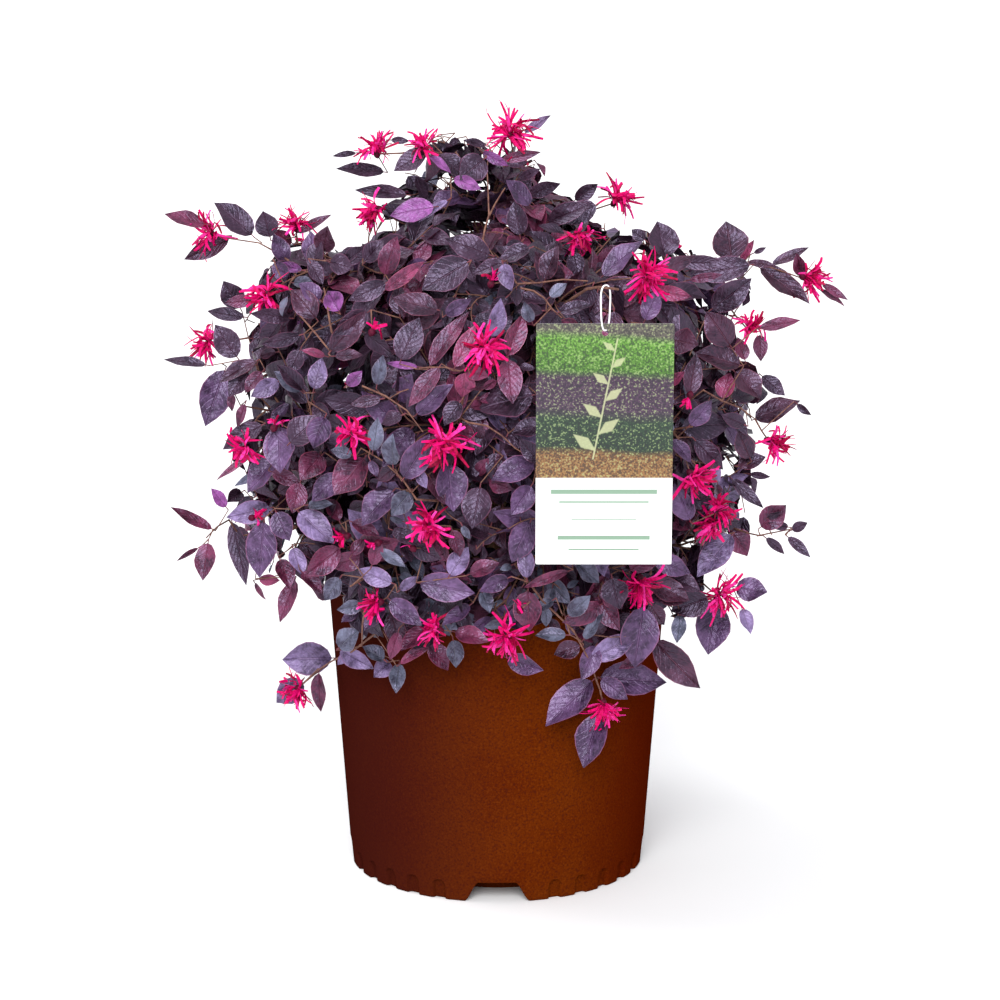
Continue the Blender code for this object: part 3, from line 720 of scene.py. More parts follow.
def joined(name: str, points: np.ndarray, unit: UnitShape) -> bpy.types.Object:
    """Joins many copies of a unit shape into one object.

    Args:
        name: The object's name.
        points: Corner places, as copies by corners by 3.
        unit: The shape's faces.

    Returns:
        The object, at the origin.
    """
    copies, corners = points.shape[:2]
    mesh = bpy.data.meshes.new(name)
    loops = np.array([corner for face in unit.faces for corner in face])
    totals = np.array([len(face) for face in unit.faces])
    shift = (np.arange(copies) * corners)[:, None]
    all_loops = (loops[None, :] + shift).ravel()
    all_totals = np.tile(totals, copies)
    starts = np.concatenate(([0], np.cumsum(all_totals)[:-1]))
    mesh.vertices.add(copies * corners)
    mesh.vertices.foreach_set("co", points.astype(np.float32).ravel())
    mesh.loops.add(len(all_loops))
    mesh.loops.foreach_set("vertex_index", all_loops)
    mesh.polygons.add(len(all_totals))
    mesh.polygons.foreach_set("loop_start", starts)
    mesh.polygons.foreach_set("loop_total", all_totals)
    if unit.face_materials is not None:
        mesh.polygons.foreach_set("material_index", np.tile(unit.face_materials, copies))
    if unit.spots is not None:
        layer = mesh.uv_layers.new(name="blade")
        layer.data.foreach_set("uv", np.tile(unit.spots[loops].ravel(), copies))
    mesh.update(calc_edges=True)
    mesh.validate()
    mesh.shade_smooth()
    mesh.set_sharp_from_angle(angle=math.radians(unit.sharp_angle))
    piece = bpy.data.objects.new(name, mesh)
    bpy.context.scene.collection.objects.link(piece)
    return piece


def tube_faces(rings: int, sides: int) -> list[tuple[int, ...]]:
    """Lists the faces of a closed tube.

    Args:
        rings: Number of rings.
        sides: Corners in a ring.

    Returns:
        The faces, all turned outwards.
    """
    faces: list[tuple[int, ...]] = [tuple(range(sides - 1, -1, -1))]
    for ring in range(rings - 1):
        for k in range(sides):
            after = (k + 1) % sides
            low, high = ring * sides, (ring + 1) * sides
            faces.append((low + k, low + after, high + after, high + k))
    faces.append(tuple((rings - 1) * sides + k for k in range(sides)))
    return faces


def unit_rows(rows: np.ndarray) -> np.ndarray:
    """Scales each vector to length 1."""
    return rows / np.maximum(np.linalg.norm(rows, axis=-1, keepdims=True), 1e-9)


def tube_points(
    paths: np.ndarray, radii: np.ndarray, across: np.ndarray, sides: int,
    flat: float = 1.0, twist: np.ndarray | None = None,
) -> np.ndarray:
    """Places the rings of many tubes or straps at once.

    Args:
        paths: Middle lines, as tubes by rings by 3.
        radii: Radii, as tubes by rings.
        across: Direction of each tube's broad side.
        sides: Corners in a ring.
        flat: Thickness as a share of the width.
        twist: Turn of each tube from foot to tip, in radians.

    Returns:
        Corner places, as tubes by corners by 3.
    """
    tubes, rings = paths.shape[:2]
    heading = unit_rows(np.gradient(paths, axis=1))
    broad = np.repeat(across[:, None, :], rings, axis=1)
    broad = unit_rows(broad - heading * np.sum(broad * heading, axis=-1, keepdims=True))
    thin = np.cross(heading, broad)
    if twist is not None:
        turn = (twist[:, None] * np.linspace(0.0, 1.0, rings)[None, :])[..., None]
        cosine, sine = np.cos(turn), np.sin(turn)
        broad, thin = cosine * broad + sine * thin, cosine * thin - sine * broad
    angles = np.arange(sides) * math.tau / sides
    ring = (
        np.cos(angles)[None, None, :, None] * broad[:, :, None, :]
        + flat * np.sin(angles)[None, None, :, None] * thin[:, :, None, :]
    )
    places = paths[:, :, None, :] + ring * radii[:, :, None, None]
    return places.reshape(tubes, rings * sides, 3)


# The crown's form and the limbs that fill it


@dataclass(frozen=True)
class CrownForm:
    """The crown's outer form, by the reach of its left and right sides at some heights."""

    foot: float = 0.190
    top: float = 0.606
    lowest_shoot: float = 0.206
    depth_share: float = 0.95
    steps: int = 200
    heights: Numbers = (
        0.172, 0.195, 0.227, 0.270, 0.315, 0.350, 0.385, 0.430, 0.470, 0.500, 0.525, 0.548, 0.588, 0.606
    )
    left: Numbers = (
        0.115, 0.147, 0.187, 0.208, 0.214, 0.217, 0.237, 0.236, 0.216, 0.190, 0.165, 0.115, 0.096, 0.055
    )
    right: Numbers = (
        0.130, 0.170, 0.187, 0.200, 0.213, 0.223, 0.216, 0.207, 0.209, 0.195, 0.105, 0.048, 0.028, 0.012
    )

    def reach(self, height: float, side: float) -> float:
        """Radius of the crown's surface.

        Args:
            height: Height above the floor.
            side: Sine of the azimuth: -1 at the left, 0 in front and behind, 1 at the right.

        Returns:
            The radius, before the crown's front and back are flattened a little.
        """
        left = np.interp(height, self.heights, self.left)
        right = np.interp(height, self.heights, self.right)
        return float(left + (right - left) * (1.0 + side) / 2)

    def point(self, azimuth: float, height: float, depth: float) -> Vector:
        """A point at a share of the crown's reach."""
        side = math.sin(math.radians(azimuth))
        spot = around(azimuth, self.reach(height, side) * depth, height)
        spot.y *= self.depth_share
        return spot

    def beyond(self, spot: Vector) -> float:
        """How far a point lies outside the crown's surface; less than 0 inside it."""
        reach = max(0.001, math.hypot(spot.x, spot.y / self.depth_share))
        return reach - self.reach(spot.z, spot.x / reach)

    def lattice(self, count: int, first: float = 0.0) -> list[tuple[float, float]]:
        """Spreads places evenly over the crown's surface, by a spiral.

        Args:
            count: Number of places.
            first: Azimuth of the first place.

        Returns:
            Azimuths and heights.
        """
        drop = self.lowest_shoot - self.top
        heights = [self.top + drop * k / self.steps for k in range(self.steps + 1)]
        areas = [0.0]
        for high, low in zip(heights, heights[1:]):
            outer, inner = self.reach(high, 0.0), self.reach(low, 0.0)
            areas.append(areas[-1] + (outer + inner) * math.hypot(high - low, outer - inner))
        places = []
        k = 0
        for n in range(count):
            wanted = (n + 0.5) / count * areas[-1]
            while areas[k + 1] < wanted:
                k += 1
            share = (wanted - areas[k]) / (areas[k + 1] - areas[k])
            height = heights[k] + (heights[k + 1] - heights[k]) * share
            places.append(((first + n * GOLDEN_ANGLE) % 360.0, height))
        return places


@dataclass(frozen=True)
class PhotoView:
    """The photo's viewing point, and how its pixels lie on the plant."""

    eye: Vector = field(default_factory=lambda: Vector((0.0, -2.2, 0.757)))
    pitch: float = 12.0
    focal: float = 2780.0
    centre: tuple[float, float] = (497.0, 512.0)
    frame: float = 1000.0
    nearest: float = 1.80
    furthest: float = 2.55
    scan: float = 0.004

    def axes(self) -> tuple[Vector, Vector, Vector]:
        """The camera's right, up and forward directions."""
        tilt = math.radians(self.pitch)
        forward = Vector((0.0, math.cos(tilt), -math.sin(tilt)))
        upward = Vector((0.0, math.sin(tilt), math.cos(tilt)))
        return Vector((1.0, 0.0, 0.0)), upward, forward

    def at(self, x: float, y: float, depth: float) -> Vector:
        """The point under a pixel.

        Args:
            x: Pixel from the left.
            y: Pixel from the top.
            depth: Distance from the eye along the line of sight's middle.

        Returns:
            The point.
        """
        right, upward, forward = self.axes()
        ray = forward + right * ((x - self.centre[0]) / self.focal)
        ray += upward * ((self.centre[1] - y) / self.focal)
        return self.eye + ray * depth

    def pixel(self, spot: Vector) -> tuple[float, float, float]:
        """Where a point shows.

        Args:
            spot: The point.

        Returns:
            Its pixel and its depth.
        """
        right, upward, forward = self.axes()
        away = spot - self.eye
        depth = away.dot(forward)
        x = self.centre[0] + self.focal * away.dot(right) / depth
        y = self.centre[1] - self.focal * away.dot(upward) / depth
        return x, y, depth

    def on_crown(self, x: float, y: float, crown: CrownForm, lift: float) -> tuple[float, float]:
        """Finds where a pixel's line of sight meets the crown.

        Args:
            x: Pixel from the left.
            y: Pixel from the top.
            crown: The crown's form.
            lift: Distance outside the crown's surface that is looked for.

        Returns:
            The depth there, and how far outside the crown the nearest point stays.
        """
        best_depth, best = self.nearest, 1.0
        depth = self.nearest
        while depth < self.furthest:
            outside = crown.beyond(self.at(x, y, depth)) - lift
            if outside <= 0.0:
                return depth, 0.0
            if outside < best:
                best_depth, best = depth, outside
            depth += self.scan
        return best_depth, best


@dataclass
class Mass:
    """One mass of foliage: its name, its middle, its bough's path and its stem's path."""

    name: str
    centre: Vector
    bough: Path
    stem: Path


@dataclass(frozen=True)
class Skeleton:
    """The trunk, its boughs and the stem of each mass, by the same rule as the solids."""

    gap: float = 0.0003
    soil_top: float = 0.2145
    tip_height: float = 0.425
    radius: float = 0.0105
    tip_radius: float = 0.0042
    flare_radius: float = 0.0085
    flare_fall: float = 0.009
    lean: tuple[float, float] = (-0.010, 0.006)
    straight_foot: float = 0.008
    sway: float = 0.003
    bough_radius: float = 0.0036
    bough_tip_radius: float = 0.0021
    bough_share: float = 0.58
    bough_bow: float = 0.016
    bough_rise: float = 0.010
    stem_reach: float = 0.22
    top_centre: tuple[float, float, float] = (-0.006, 0.0, 0.540)
    top_bend: tuple[float, float, float] = (-0.010, 0.006, 0.50)
    crest: tuple[float, float, float] = (0.004, -0.004, 0.588)
    tiers: tuple = (
        ("upper", 5, 0.470, 0.122, 18.0, 0.335, 0.395),
        ("middle", 7, 0.385, 0.188, -8.0, 0.285, 0.325),
        ("lower", 8, 0.285, 0.186, 14.0, 0.238, 0.272),
    )

    @property
    def foot(self) -> float:
        """Height of the trunk's flat foot."""
        return self.soil_top + self.gap

    def trunk_centre(self, height: float) -> Vector:
        """Middle of the trunk at a height."""
        span = self.tip_height - self.foot
        share = max(0.0, min(1.0, (height - self.foot - self.straight_foot) / span))
        sway = self.sway * math.sin(share * math.tau * 0.8)
        return Vector((self.lean[0] * share + sway, self.lean[1] * share - sway, height))

    def trunk_radius(self, height: float) -> float:
        """Radius of the trunk, with its root flare."""
        share = max(0.0, (height - self.foot) / (self.tip_height - self.foot))
        flare = self.flare_radius * math.exp(-(height - self.foot) / self.flare_fall)
        return self.radius + (self.tip_radius - self.radius) * share ** 0.9 + flare

    def masses(self) -> list[Mass]:
        """Places every mass and works out its bough and stem.

        Returns:
            The masses, the top one first.
        """
        tip = self.trunk_centre(self.tip_height)
        stem = bent(tip, Vector(self.top_bend), Vector(self.crest), 9)
        masses = [Mass("top", Vector(self.top_centre), [], stem)]
        for tier, count, height, reach, first, low, high in self.tiers:
            for k in range(count):
                azimuth = first + 360.0 * k / count
                centre = around(azimuth, reach, height + 0.010 * math.sin(2.4 * k + reach * 40))
                foot = self.trunk_centre(low + (high - low) * ((k * 0.618) % 1.0))
                away = centre - foot
                end = foot + away * self.bough_share + UP * self.bough_rise
                control = foot + away * (self.bough_share * 0.5) + UP * self.bough_bow
                bough = bent(foot, control, end, 14)
                heading = (bough[-1] - bough[-2]).normalized()
                last = centre + away.normalized() * (self.stem_reach * reach)
                last.z -= 0.014 if tier == "lower" else 0.004
                reach_out = (last - end).length
                stem = bent(end, end + heading * reach_out * 0.5, last, 8)
                masses.append(Mass(f"{tier}_{k + 1}", centre, bough, stem))
        return masses


class Tint(Enum):
    """The tints of leaf, dealt out by spray."""

    DARK = "dark_plum"
    BROWN = "brown_plum"
    VIOLET = "violet_plum"
    MAUVE = "mauve"
    BURGUNDY = "burgundy"
    WINE = "wine"
    SLATE = "slate"
    YOUNG = "young_pink"
    # A darker tint that paints shade inside the crown.
    INNER_SHADE = "inner_dusk"


# Leaf colours of each tint on the screen: upper side, underside, veins and rim

LEAF_TONES = {
    Tint.DARK: ((41, 23, 35), (80, 38, 66), (76, 48, 66), (108, 60, 84)),
    Tint.BROWN: ((51, 24, 36), (84, 36, 56), (88, 48, 62), (116, 58, 74)),
    # The violet and mauve tints are partly painted sheen: lighter, bluer copies of the plum leaf, dealt
    # to whole leaves.
    Tint.VIOLET: ((70, 47, 75), (102, 52, 94), (100, 72, 104), (128, 76, 108)),
    Tint.MAUVE: ((98, 80, 112), (132, 80, 132), (132, 110, 144), (148, 100, 136)),
    Tint.BURGUNDY: ((105, 38, 64), (122, 44, 76), (142, 68, 92), (164, 82, 100)),
    Tint.WINE: ((80, 29, 50), (98, 34, 62), (112, 50, 72), (136, 60, 84)),
    Tint.SLATE: ((76, 76, 92), (84, 76, 92), (104, 104, 118), (118, 104, 118)),
    Tint.YOUNG: ((108, 54, 106), (118, 60, 116), (130, 80, 128), (138, 84, 130)),
    # Painted shade: a darker copy of the plum leaf, dealt to inner leaves and at random among the rest.
    Tint.INNER_SHADE: ((34, 19, 30), (50, 26, 42), (54, 34, 48), (64, 38, 50)),
}


# Blossoms in the photo: pixel of the middle, fan and size. The fan is the way the petals spread in the
# picture, in degrees from the right and counting up, or None where they spread all round.

PHOTO_BLOOMS = (
    (212, 234, None, 1.15), (296, 228, 80, 1.0), (377, 154, 90, 1.05), (424, 150, 105, 0.95),
    (379, 209, 205, 1.1), (510, 135, None, 1.4), (614, 203, 45, 1.2), (578, 232, -80, 1.15),
    (646, 277, None, 1.3), (803, 277, -30, 1.15), (748, 330, 65, 0.95), (268, 294, None, 1.15),
    (209, 342, None, 1.15), (486, 348, None, 1.15), (246, 446, None, 0.95), (352, 434, None, 1.0),
    (444, 443, None, 1.3), (430, 525, None, 1.1), (768, 440, -20, 1.1), (690, 473, -60, 1.15),
    (716, 513, 60, 1.0), (716, 523, 195, 1.0), (640, 578, -90, 1.3), (718, 594, None, 1.25),
    (380, 602, 195, 0.9), (440, 630, 155, 0.95), (506, 635, None, 1.2), (603, 702, -85, 1.2),
    (298, 688, None, 1.0),
)

# Long shoots: azimuth, height and reach

LONG_SHOOTS = (
    (-88, 0.520, 0.236), (-67, 0.312, 0.262), (-59, 0.290, 0.255), (58, 0.308, 0.262),
    (77, 0.512, 0.190), (52, 0.524, 0.160), (-66, 0.429, 0.256), (47, 0.205, 0.196),
    (61, 0.600, 0.036), (59, 0.440, 0.250), (24, 0.150, 0.187), (140, 0.470, 0.240),
    (-140, 0.340, 0.256), (172, 0.250, 0.240),
)

# Leaves that catch the eye in the photo, by tint: pixels of the blade's base and tip, and its width

PHOTO_LEAVES = {
    Tint.DARK: (
        (545, 425, 512, 432, 20), (540, 462, 520, 440, 16), (312, 268, 320, 240, 18),
        (345, 262, 366, 248, 16), (300, 350, 290, 372, 16), (365, 262, 383, 240, 18),
        (330, 262, 352, 268, 20), (310, 262, 322, 284, 14), (252, 235, 217, 201, 26),
        (270, 237, 264, 212, 22), (240, 308, 224, 282, 22),
        (244, 317, 207, 312, 13), (237, 357, 215, 327, 24), (206, 365, 164, 359, 11),
        (384, 172, 338, 166, 14), (407, 195, 356, 189, 14), (426, 152, 395, 170, 20),
        (356, 153, 333, 155, 6), (391, 140, 409, 141, 7), (486, 146, 464, 140, 8),
        (484, 159, 461, 178, 27), (519, 179, 540, 170, 9), (529, 195, 559, 183, 14),
        (575, 200, 597, 184, 14), (520, 235, 515, 202, 20), (596, 205, 561, 222, 22),
        (665, 257, 658, 223, 32), (754, 253, 766, 248, 5), (712, 309, 751, 281, 26),
        (797, 404, 810, 416, 7), (762, 376, 784, 395, 15), (768, 518, 780, 511, 8),
        (708, 598, 672, 611, 26), (732, 479, 761, 508, 12), (750, 474, 770, 477, 7),
        (232, 522, 248, 582, 18), (612, 578, 618, 608, 26), (401, 360, 417, 318, 26),
        (533, 395, 478, 408, 38), (290, 443, 318, 417, 28), (508, 166, 528, 162, 7),
        (548, 222, 590, 205, 20), (490, 255, 447, 240, 24), (468, 262, 424, 290, 32),
        (530, 248, 498, 262, 18), (503, 262, 474, 274, 14), (386, 283, 350, 300, 18),
        (330, 275, 316, 258, 14), (360, 250, 336, 262, 14), (368, 312, 335, 335, 20),
        (560, 312, 590, 303, 14), (290, 318, 252, 312, 14), (300, 335, 262, 345, 14),
        (303, 390, 278, 366, 16), (248, 372, 228, 395, 20), (645, 240, 632, 230, 12),
        (680, 262, 725, 264, 14), (750, 265, 692, 275, 24), (745, 425, 722, 415, 14),
        (695, 440, 722, 470, 20), (262, 425, 222, 447, 20), (242, 492, 228, 502, 14),
        (672, 578, 700, 590, 18), (480, 487, 474, 527, 28), (460, 402, 444, 424, 18),
        (402, 415, 382, 424, 16), (392, 530, 424, 545, 15), (788, 527, 769, 523, 9),
        (792, 530, 807, 523, 10), (766, 538, 784, 553, 9), (788, 537, 810, 556, 10),
    ),
    Tint.BROWN: (
        (229, 239, 186, 259, 18), (324, 252, 327, 227, 21), (256, 361, 219, 380, 16),
        (732, 260, 727, 222, 34), (760, 268, 808, 302, 24), (748, 262, 776, 265, 8),
        (772, 265, 808, 247, 11), (755, 419, 798, 401, 24), (740, 365, 697, 352, 27),
        (654, 641, 698, 687, 30), (650, 583, 688, 600, 24), (580, 646, 555, 655, 18),
        (655, 590, 688, 600, 22), (438, 310, 394, 298, 24), (331, 351, 365, 313, 22),
        (316, 318, 293, 288, 24), (335, 356, 362, 354, 12), (381, 399, 351, 404, 11),
        (545, 280, 556, 246, 20), (622, 270, 632, 248, 12), (650, 275, 695, 255, 16),
        (730, 345, 708, 312, 28), (672, 340, 697, 345, 26), (735, 372, 760, 398, 26),
        (690, 395, 695, 355, 18), (750, 458, 738, 432, 18), (738, 465, 765, 458, 16),
        (650, 605, 664, 625, 16), (430, 478, 444, 504, 14),
    ),
    Tint.VIOLET: (
        (313, 262, 310, 232, 18), (287, 262, 273, 235, 17), (225, 370, 205, 424, 30),
        (525, 133, 550, 116, 10), (530, 205, 507, 181, 20), (603, 276, 641, 243, 24),
        (736, 587, 766, 593, 23), (716, 603, 707, 652, 33), (264, 522, 259, 576, 30),
        (276, 512, 289, 540, 22), (393, 491, 361, 523, 28), (404, 478, 431, 437, 26),
        (448, 464, 453, 510, 32), (420, 583, 473, 591, 27), (508, 658, 542, 670, 20),
        (596, 646, 582, 679, 20), (592, 681, 548, 724, 31), (600, 678, 665, 680, 32),
        (643, 607, 635, 666, 36), (417, 414, 451, 384, 20), (534, 462, 493, 479, 24),
        (325, 417, 312, 447, 24), (279, 427, 280, 471, 30), (320, 300, 300, 283, 18),
        (275, 262, 290, 282, 16), (446, 315, 470, 299, 14), (645, 320, 658, 290, 18),
        (690, 425, 712, 402, 18), (672, 440, 692, 462, 14), (275, 458, 250, 492, 26),
        (340, 475, 312, 500, 22), (358, 612, 342, 622, 12), (385, 606, 365, 630, 18),
        (390, 600, 420, 625, 20), (275, 430, 285, 470, 24), (690, 520, 675, 485, 22),
        (655, 560, 690, 572, 20), (508, 578, 480, 590, 16), (470, 605, 443, 625, 14),
        (531, 486, 512, 514, 22), (601, 679, 627, 698, 18), (600, 714, 583, 765, 30),
    ),
    Tint.MAUVE: (
        (448, 200, 417, 220, 8), (732, 535, 697, 574, 26), (742, 609, 751, 633, 14),
        (270, 508, 228, 518, 22), (299, 512, 332, 543, 26), (390, 662, 374, 676, 18),
        (392, 583, 358, 570, 18), (332, 658, 284, 658, 32), (302, 680, 277, 703, 24),
        (340, 650, 372, 668, 18), (591, 659, 636, 635, 22), (492, 337, 502, 300, 18),
        (314, 389, 322, 359, 18), (279, 381, 252, 396, 17), (503, 264, 512, 290, 16),
        (293, 548, 302, 575, 16),
        (350, 650, 338, 665, 12), (400, 590, 418, 576, 10), (450, 575, 468, 548, 20),
        (527, 578, 525, 546, 16), (418, 470, 426, 488, 11),
    ),
    Tint.BURGUNDY: (
        (740, 262, 754, 241, 9), (722, 398, 729, 373, 18), (259, 579, 279, 581, 11),
        (400, 664, 438, 635, 10), (569, 571, 523, 586, 10), (507, 356, 523, 314, 20),
        (455, 367, 475, 325, 16), (465, 373, 463, 397, 20), (325, 356, 302, 349, 8),
        (385, 290, 424, 263, 14), (655, 290, 690, 298, 14), (672, 385, 684, 372, 10),
        (252, 455, 217, 479, 8),
    ),
    Tint.WINE: (
        (205, 224, 166, 215, 17), (297, 233, 330, 214, 9), (292, 243, 274, 231, 12),
        (254, 300, 226, 303, 12), (232, 393, 232, 411, 9), (801, 276, 797, 254, 13),
        (822, 284, 847, 299, 8), (820, 290, 843, 306, 9), (760, 328, 799, 320, 13),
        (760, 335, 760, 360, 14), (761, 527, 785, 506, 22), (731, 530, 748, 555, 23),
        (212, 529, 172, 509, 12), (208, 543, 203, 579, 20), (198, 548, 177, 560, 5),
        (295, 580, 281, 621, 17), (255, 583, 265, 599, 6), (281, 559, 289, 588, 18),
        (364, 458, 336, 494, 34), (245, 404, 237, 427, 10), (398, 632, 390, 659, 14),
        (431, 643, 447, 670, 19), (319, 673, 319, 711, 15), (528, 591, 528, 631, 28),
        (430, 366, 466, 311, 19), (508, 359, 511, 402, 23), (465, 371, 488, 376, 13),
        (439, 367, 411, 406, 18), (502, 160, 540, 152, 10), (385, 275, 395, 237, 20),
        (262, 372, 245, 392, 14), (690, 280, 722, 275, 8), (745, 360, 738, 338, 14),
        (272, 472, 300, 484, 14), (322, 455, 300, 478, 26), (300, 483, 292, 512, 20),
        (352, 522, 378, 535, 14), (372, 565, 380, 540, 14), (340, 548, 306, 575, 24),
        (280, 560, 296, 588, 14), (302, 572, 322, 592, 14), (425, 628, 402, 650, 18),
        (605, 585, 622, 608, 24), (645, 655, 620, 668, 12), (470, 574, 498, 562, 16),
        (455, 632, 488, 640, 18), (600, 600, 618, 630, 20), (452, 530, 461, 556, 15),
        (352, 555, 364, 538, 12),
    ),
    Tint.SLATE: (
        (393, 465, 390, 435, 20), (339, 648, 358, 630, 22),
        (384, 660, 364, 646, 17), (399, 664, 396, 692, 16), (453, 640, 457, 667, 18),
        (566, 635, 536, 635, 14), (568, 615, 590, 597, 16), (584, 639, 603, 615, 13),
        (377, 385, 382, 356, 14), (301, 391, 275, 371, 16), (352, 455, 331, 450, 12),
        (373, 451, 379, 419, 15), (550, 297, 566, 284, 12), (532, 322, 523, 303, 12),
        (308, 505, 332, 505, 12), (410, 492, 392, 515, 20), (380, 550, 404, 567, 12),
        (340, 578, 326, 600, 18), (362, 605, 338, 610, 14), (262, 470, 236, 486, 8),
        (680, 615, 678, 642, 14), (482, 592, 490, 612, 14), (575, 562, 598, 582, 20),
        (553, 600, 535, 612, 12),
    ),
    Tint.YOUNG: (
        (302, 270, 276, 264, 10), (430, 156, 451, 171, 10), (454, 178, 480, 189, 13),
        (434, 207, 392, 214, 22), (226, 507, 212, 489, 12), (418, 367, 386, 363, 7),
        (347, 385, 362, 372, 13), (339, 311, 328, 291, 20), (483, 152, 507, 166, 10),
    ),
}

# The edge of the dense leaves in the photo, by pixels from the peak round to the right

LEAFY_EDGE = (
    (432, 141), (462, 141), (484, 147), (512, 150), (540, 160), (547, 176), (536, 188), (550, 196),
    (575, 197), (592, 203), (592, 219), (604, 228), (626, 234), (640, 228), (652, 234), (680, 247),
    (712, 254), (742, 258), (753, 274), (749, 306), (741, 332), (744, 358), (766, 378), (780, 392),
    (757, 404), (751, 426), (757, 450), (762, 464), (757, 490), (753, 506), (757, 518), (753, 544),
    (738, 544), (724, 562), (712, 578), (704, 600), (692, 622), (668, 622), (654, 628), (650, 654),
    (634, 667), (622, 656), (604, 652), (594, 668), (580, 680), (577, 657), (556, 654), (556, 640),
    (536, 634), (512, 636), (482, 641), (462, 640), (440, 650), (424, 648), (404, 662), (385, 671),
    (346, 669), (337, 656), (333, 612), (318, 588), (303, 585), (298, 571), (284, 582), (262, 569),
    (243, 572), (232, 545), (226, 512), (242, 498), (250, 480), (236, 463), (221, 450), (226, 434),
    (247, 422), (246, 398), (232, 386), (226, 372), (248, 356), (238, 344), (252, 326), (240, 316),
    (240, 298), (262, 280), (270, 262), (275, 240), (290, 246), (308, 232), (318, 252), (335, 245),
    (370, 241), (376, 228), (386, 240), (402, 228), (372, 214), (374, 204), (396, 190), (403, 180),
    (397, 166), (412, 154),
)

# Gaps in the crown where the background shows: pixel and radius

PHOTO_GAPS = (
    (420, 166, 5), (450, 183, 5), (478, 197, 4), (481, 221, 6), (468, 229, 4), (520, 232, 4),
    (533, 225, 3), (497, 188, 4), (392, 229, 7), (357, 255, 4), (341, 272, 4),
    (384, 252, 4), (397, 258, 4), (573, 262, 4), (636, 254, 4), (652, 257, 5),
    (685, 263, 4), (670, 275, 3), (728, 278, 4), (735, 321, 7), (733, 309, 5), (712, 340, 6),
    (723, 336, 5), (738, 368, 5), (731, 402, 4), (748, 423, 4),
    (737, 442, 4), (726, 437, 4), (753, 452, 4), (730, 467, 4), (251, 322, 7), (246, 354, 5),
    (284, 390, 4), (302, 390, 3), (306, 402, 4), (254, 410, 6), (266, 412, 4), (296, 540, 6),
    (290, 549, 5), (285, 560, 4), (667, 630, 9), (668, 611, 4),
    (686, 541, 6), (679, 553, 4), (710, 577, 5),
)

# Closed blossom buds in the photo: pixel, size and the way they point in degrees

PHOTO_BUDS = (
    (491, 284, 0.60, 75), (252, 518, 0.62, 25), (274, 428, 0.62, 60), (378, 543, 0.55, 200),
    (347, 536, 0.55, 190), (413, 548, 0.50, 120), (372, 332, 0.55, 60), (690, 395, 0.50, 250),
    (620, 545, 0.50, 90), (520, 610, 0.50, 80),
)

# Bare twigs that show in the photo, by pixels along them

PHOTO_TWIGS = (
    ((300, 268), (262, 243), (232, 236), (212, 236)),
    ((482, 238), (489, 216), (488, 189), (487, 167)),
    ((491, 212), (496, 202), (505, 188)),
    ((520, 288), (544, 281), (566, 279), (588, 281)),
    ((529, 290), (540, 292), (551, 308), (562, 318)),
    ((330, 328), (328, 308), (324, 288)),
    ((358, 384), (378, 392), (399, 403), (414, 417), (423, 432)),
    ((417, 503), (412, 492), (395, 469), (373, 454), (361, 448)),
    ((417, 369), (440, 366), (460, 371)),
    ((465, 422), (489, 426), (504, 437), (515, 448)),
    ((536, 597), (562, 614), (580, 640), (589, 659), (600, 690)),
    ((368, 600), (363, 614), (362, 630), (362, 646)),
    ((362, 646), (346, 655), (334, 660), (318, 669), (298, 688)),
    ((741, 531), (757, 536), (772, 535), (786, 535), (792, 529)),
    ((232, 518), (213, 529), (206, 538)),
    ((332, 354), (313, 330), (296, 311)),
    ((700, 387), (722, 401), (746, 410), (755, 419)),
    ((748, 262), (775, 268), (800, 278), (815, 283)),
)


class Kind(Enum):
    """What a shoot carries."""

    LEAFY = "leafy"
    INNER = "inner"
    BLOSSOM = "blossom"
    LONG = "long"


class Gauge(Enum):
    """A twig's radius at its foot and at its tip."""

    STEM = (0.0021, 0.0006)
    TAG_TWIG = (0.0015, 0.0009)
    SHOOT = (0.0010, 0.0004)
    PHOTO_TWIG = (0.0009, 0.0005)
    BLOOM_TWIG = (0.0008, 0.0006)
    SIDE_TWIG = (0.0007, 0.00035)
    BUD_TWIG = (0.0006, 0.0005)
    LEAF_TWIG = (0.0005, 0.0004)
    STALK = (0.00055, 0.0004)


@dataclass
class Leaf:
    """One leaf's place and form."""

    root: Vector
    along: Vector
    across: Vector
    facing: Vector
    length: float
    width: float
    fold: float
    curl: float
    phase: float
    sway: float
    twist: float

    def marks(self) -> list[Vector]:
        """A few points on the leaf, to test where it lies."""
        middle = self.root + self.along * (self.length * 0.45)
        half = self.across * (self.width / 2)
        tip = self.root + self.along * self.length
        tip += self.across * (self.sway * self.length) - self.facing * (self.curl * self.length)
        edges = [middle, middle + half, middle - half]
        base = self.root.lerp(middle, 0.4)
        return [*edges, middle.lerp(tip, 0.55), tip, base + half * 0.7, base - half * 0.7]


@dataclass
class Bloom:
    """One cluster of blossoms: its middle, the way it faces, its size and its petals' spread."""

    centre: Vector
    axis: Vector
    size: float
    spread: float
    count: int


@dataclass
class Twig:
    """One twig: its path, its gauge and whether it keeps a bare tip."""

    path: Path
    gauge: Gauge
    bare: bool = False


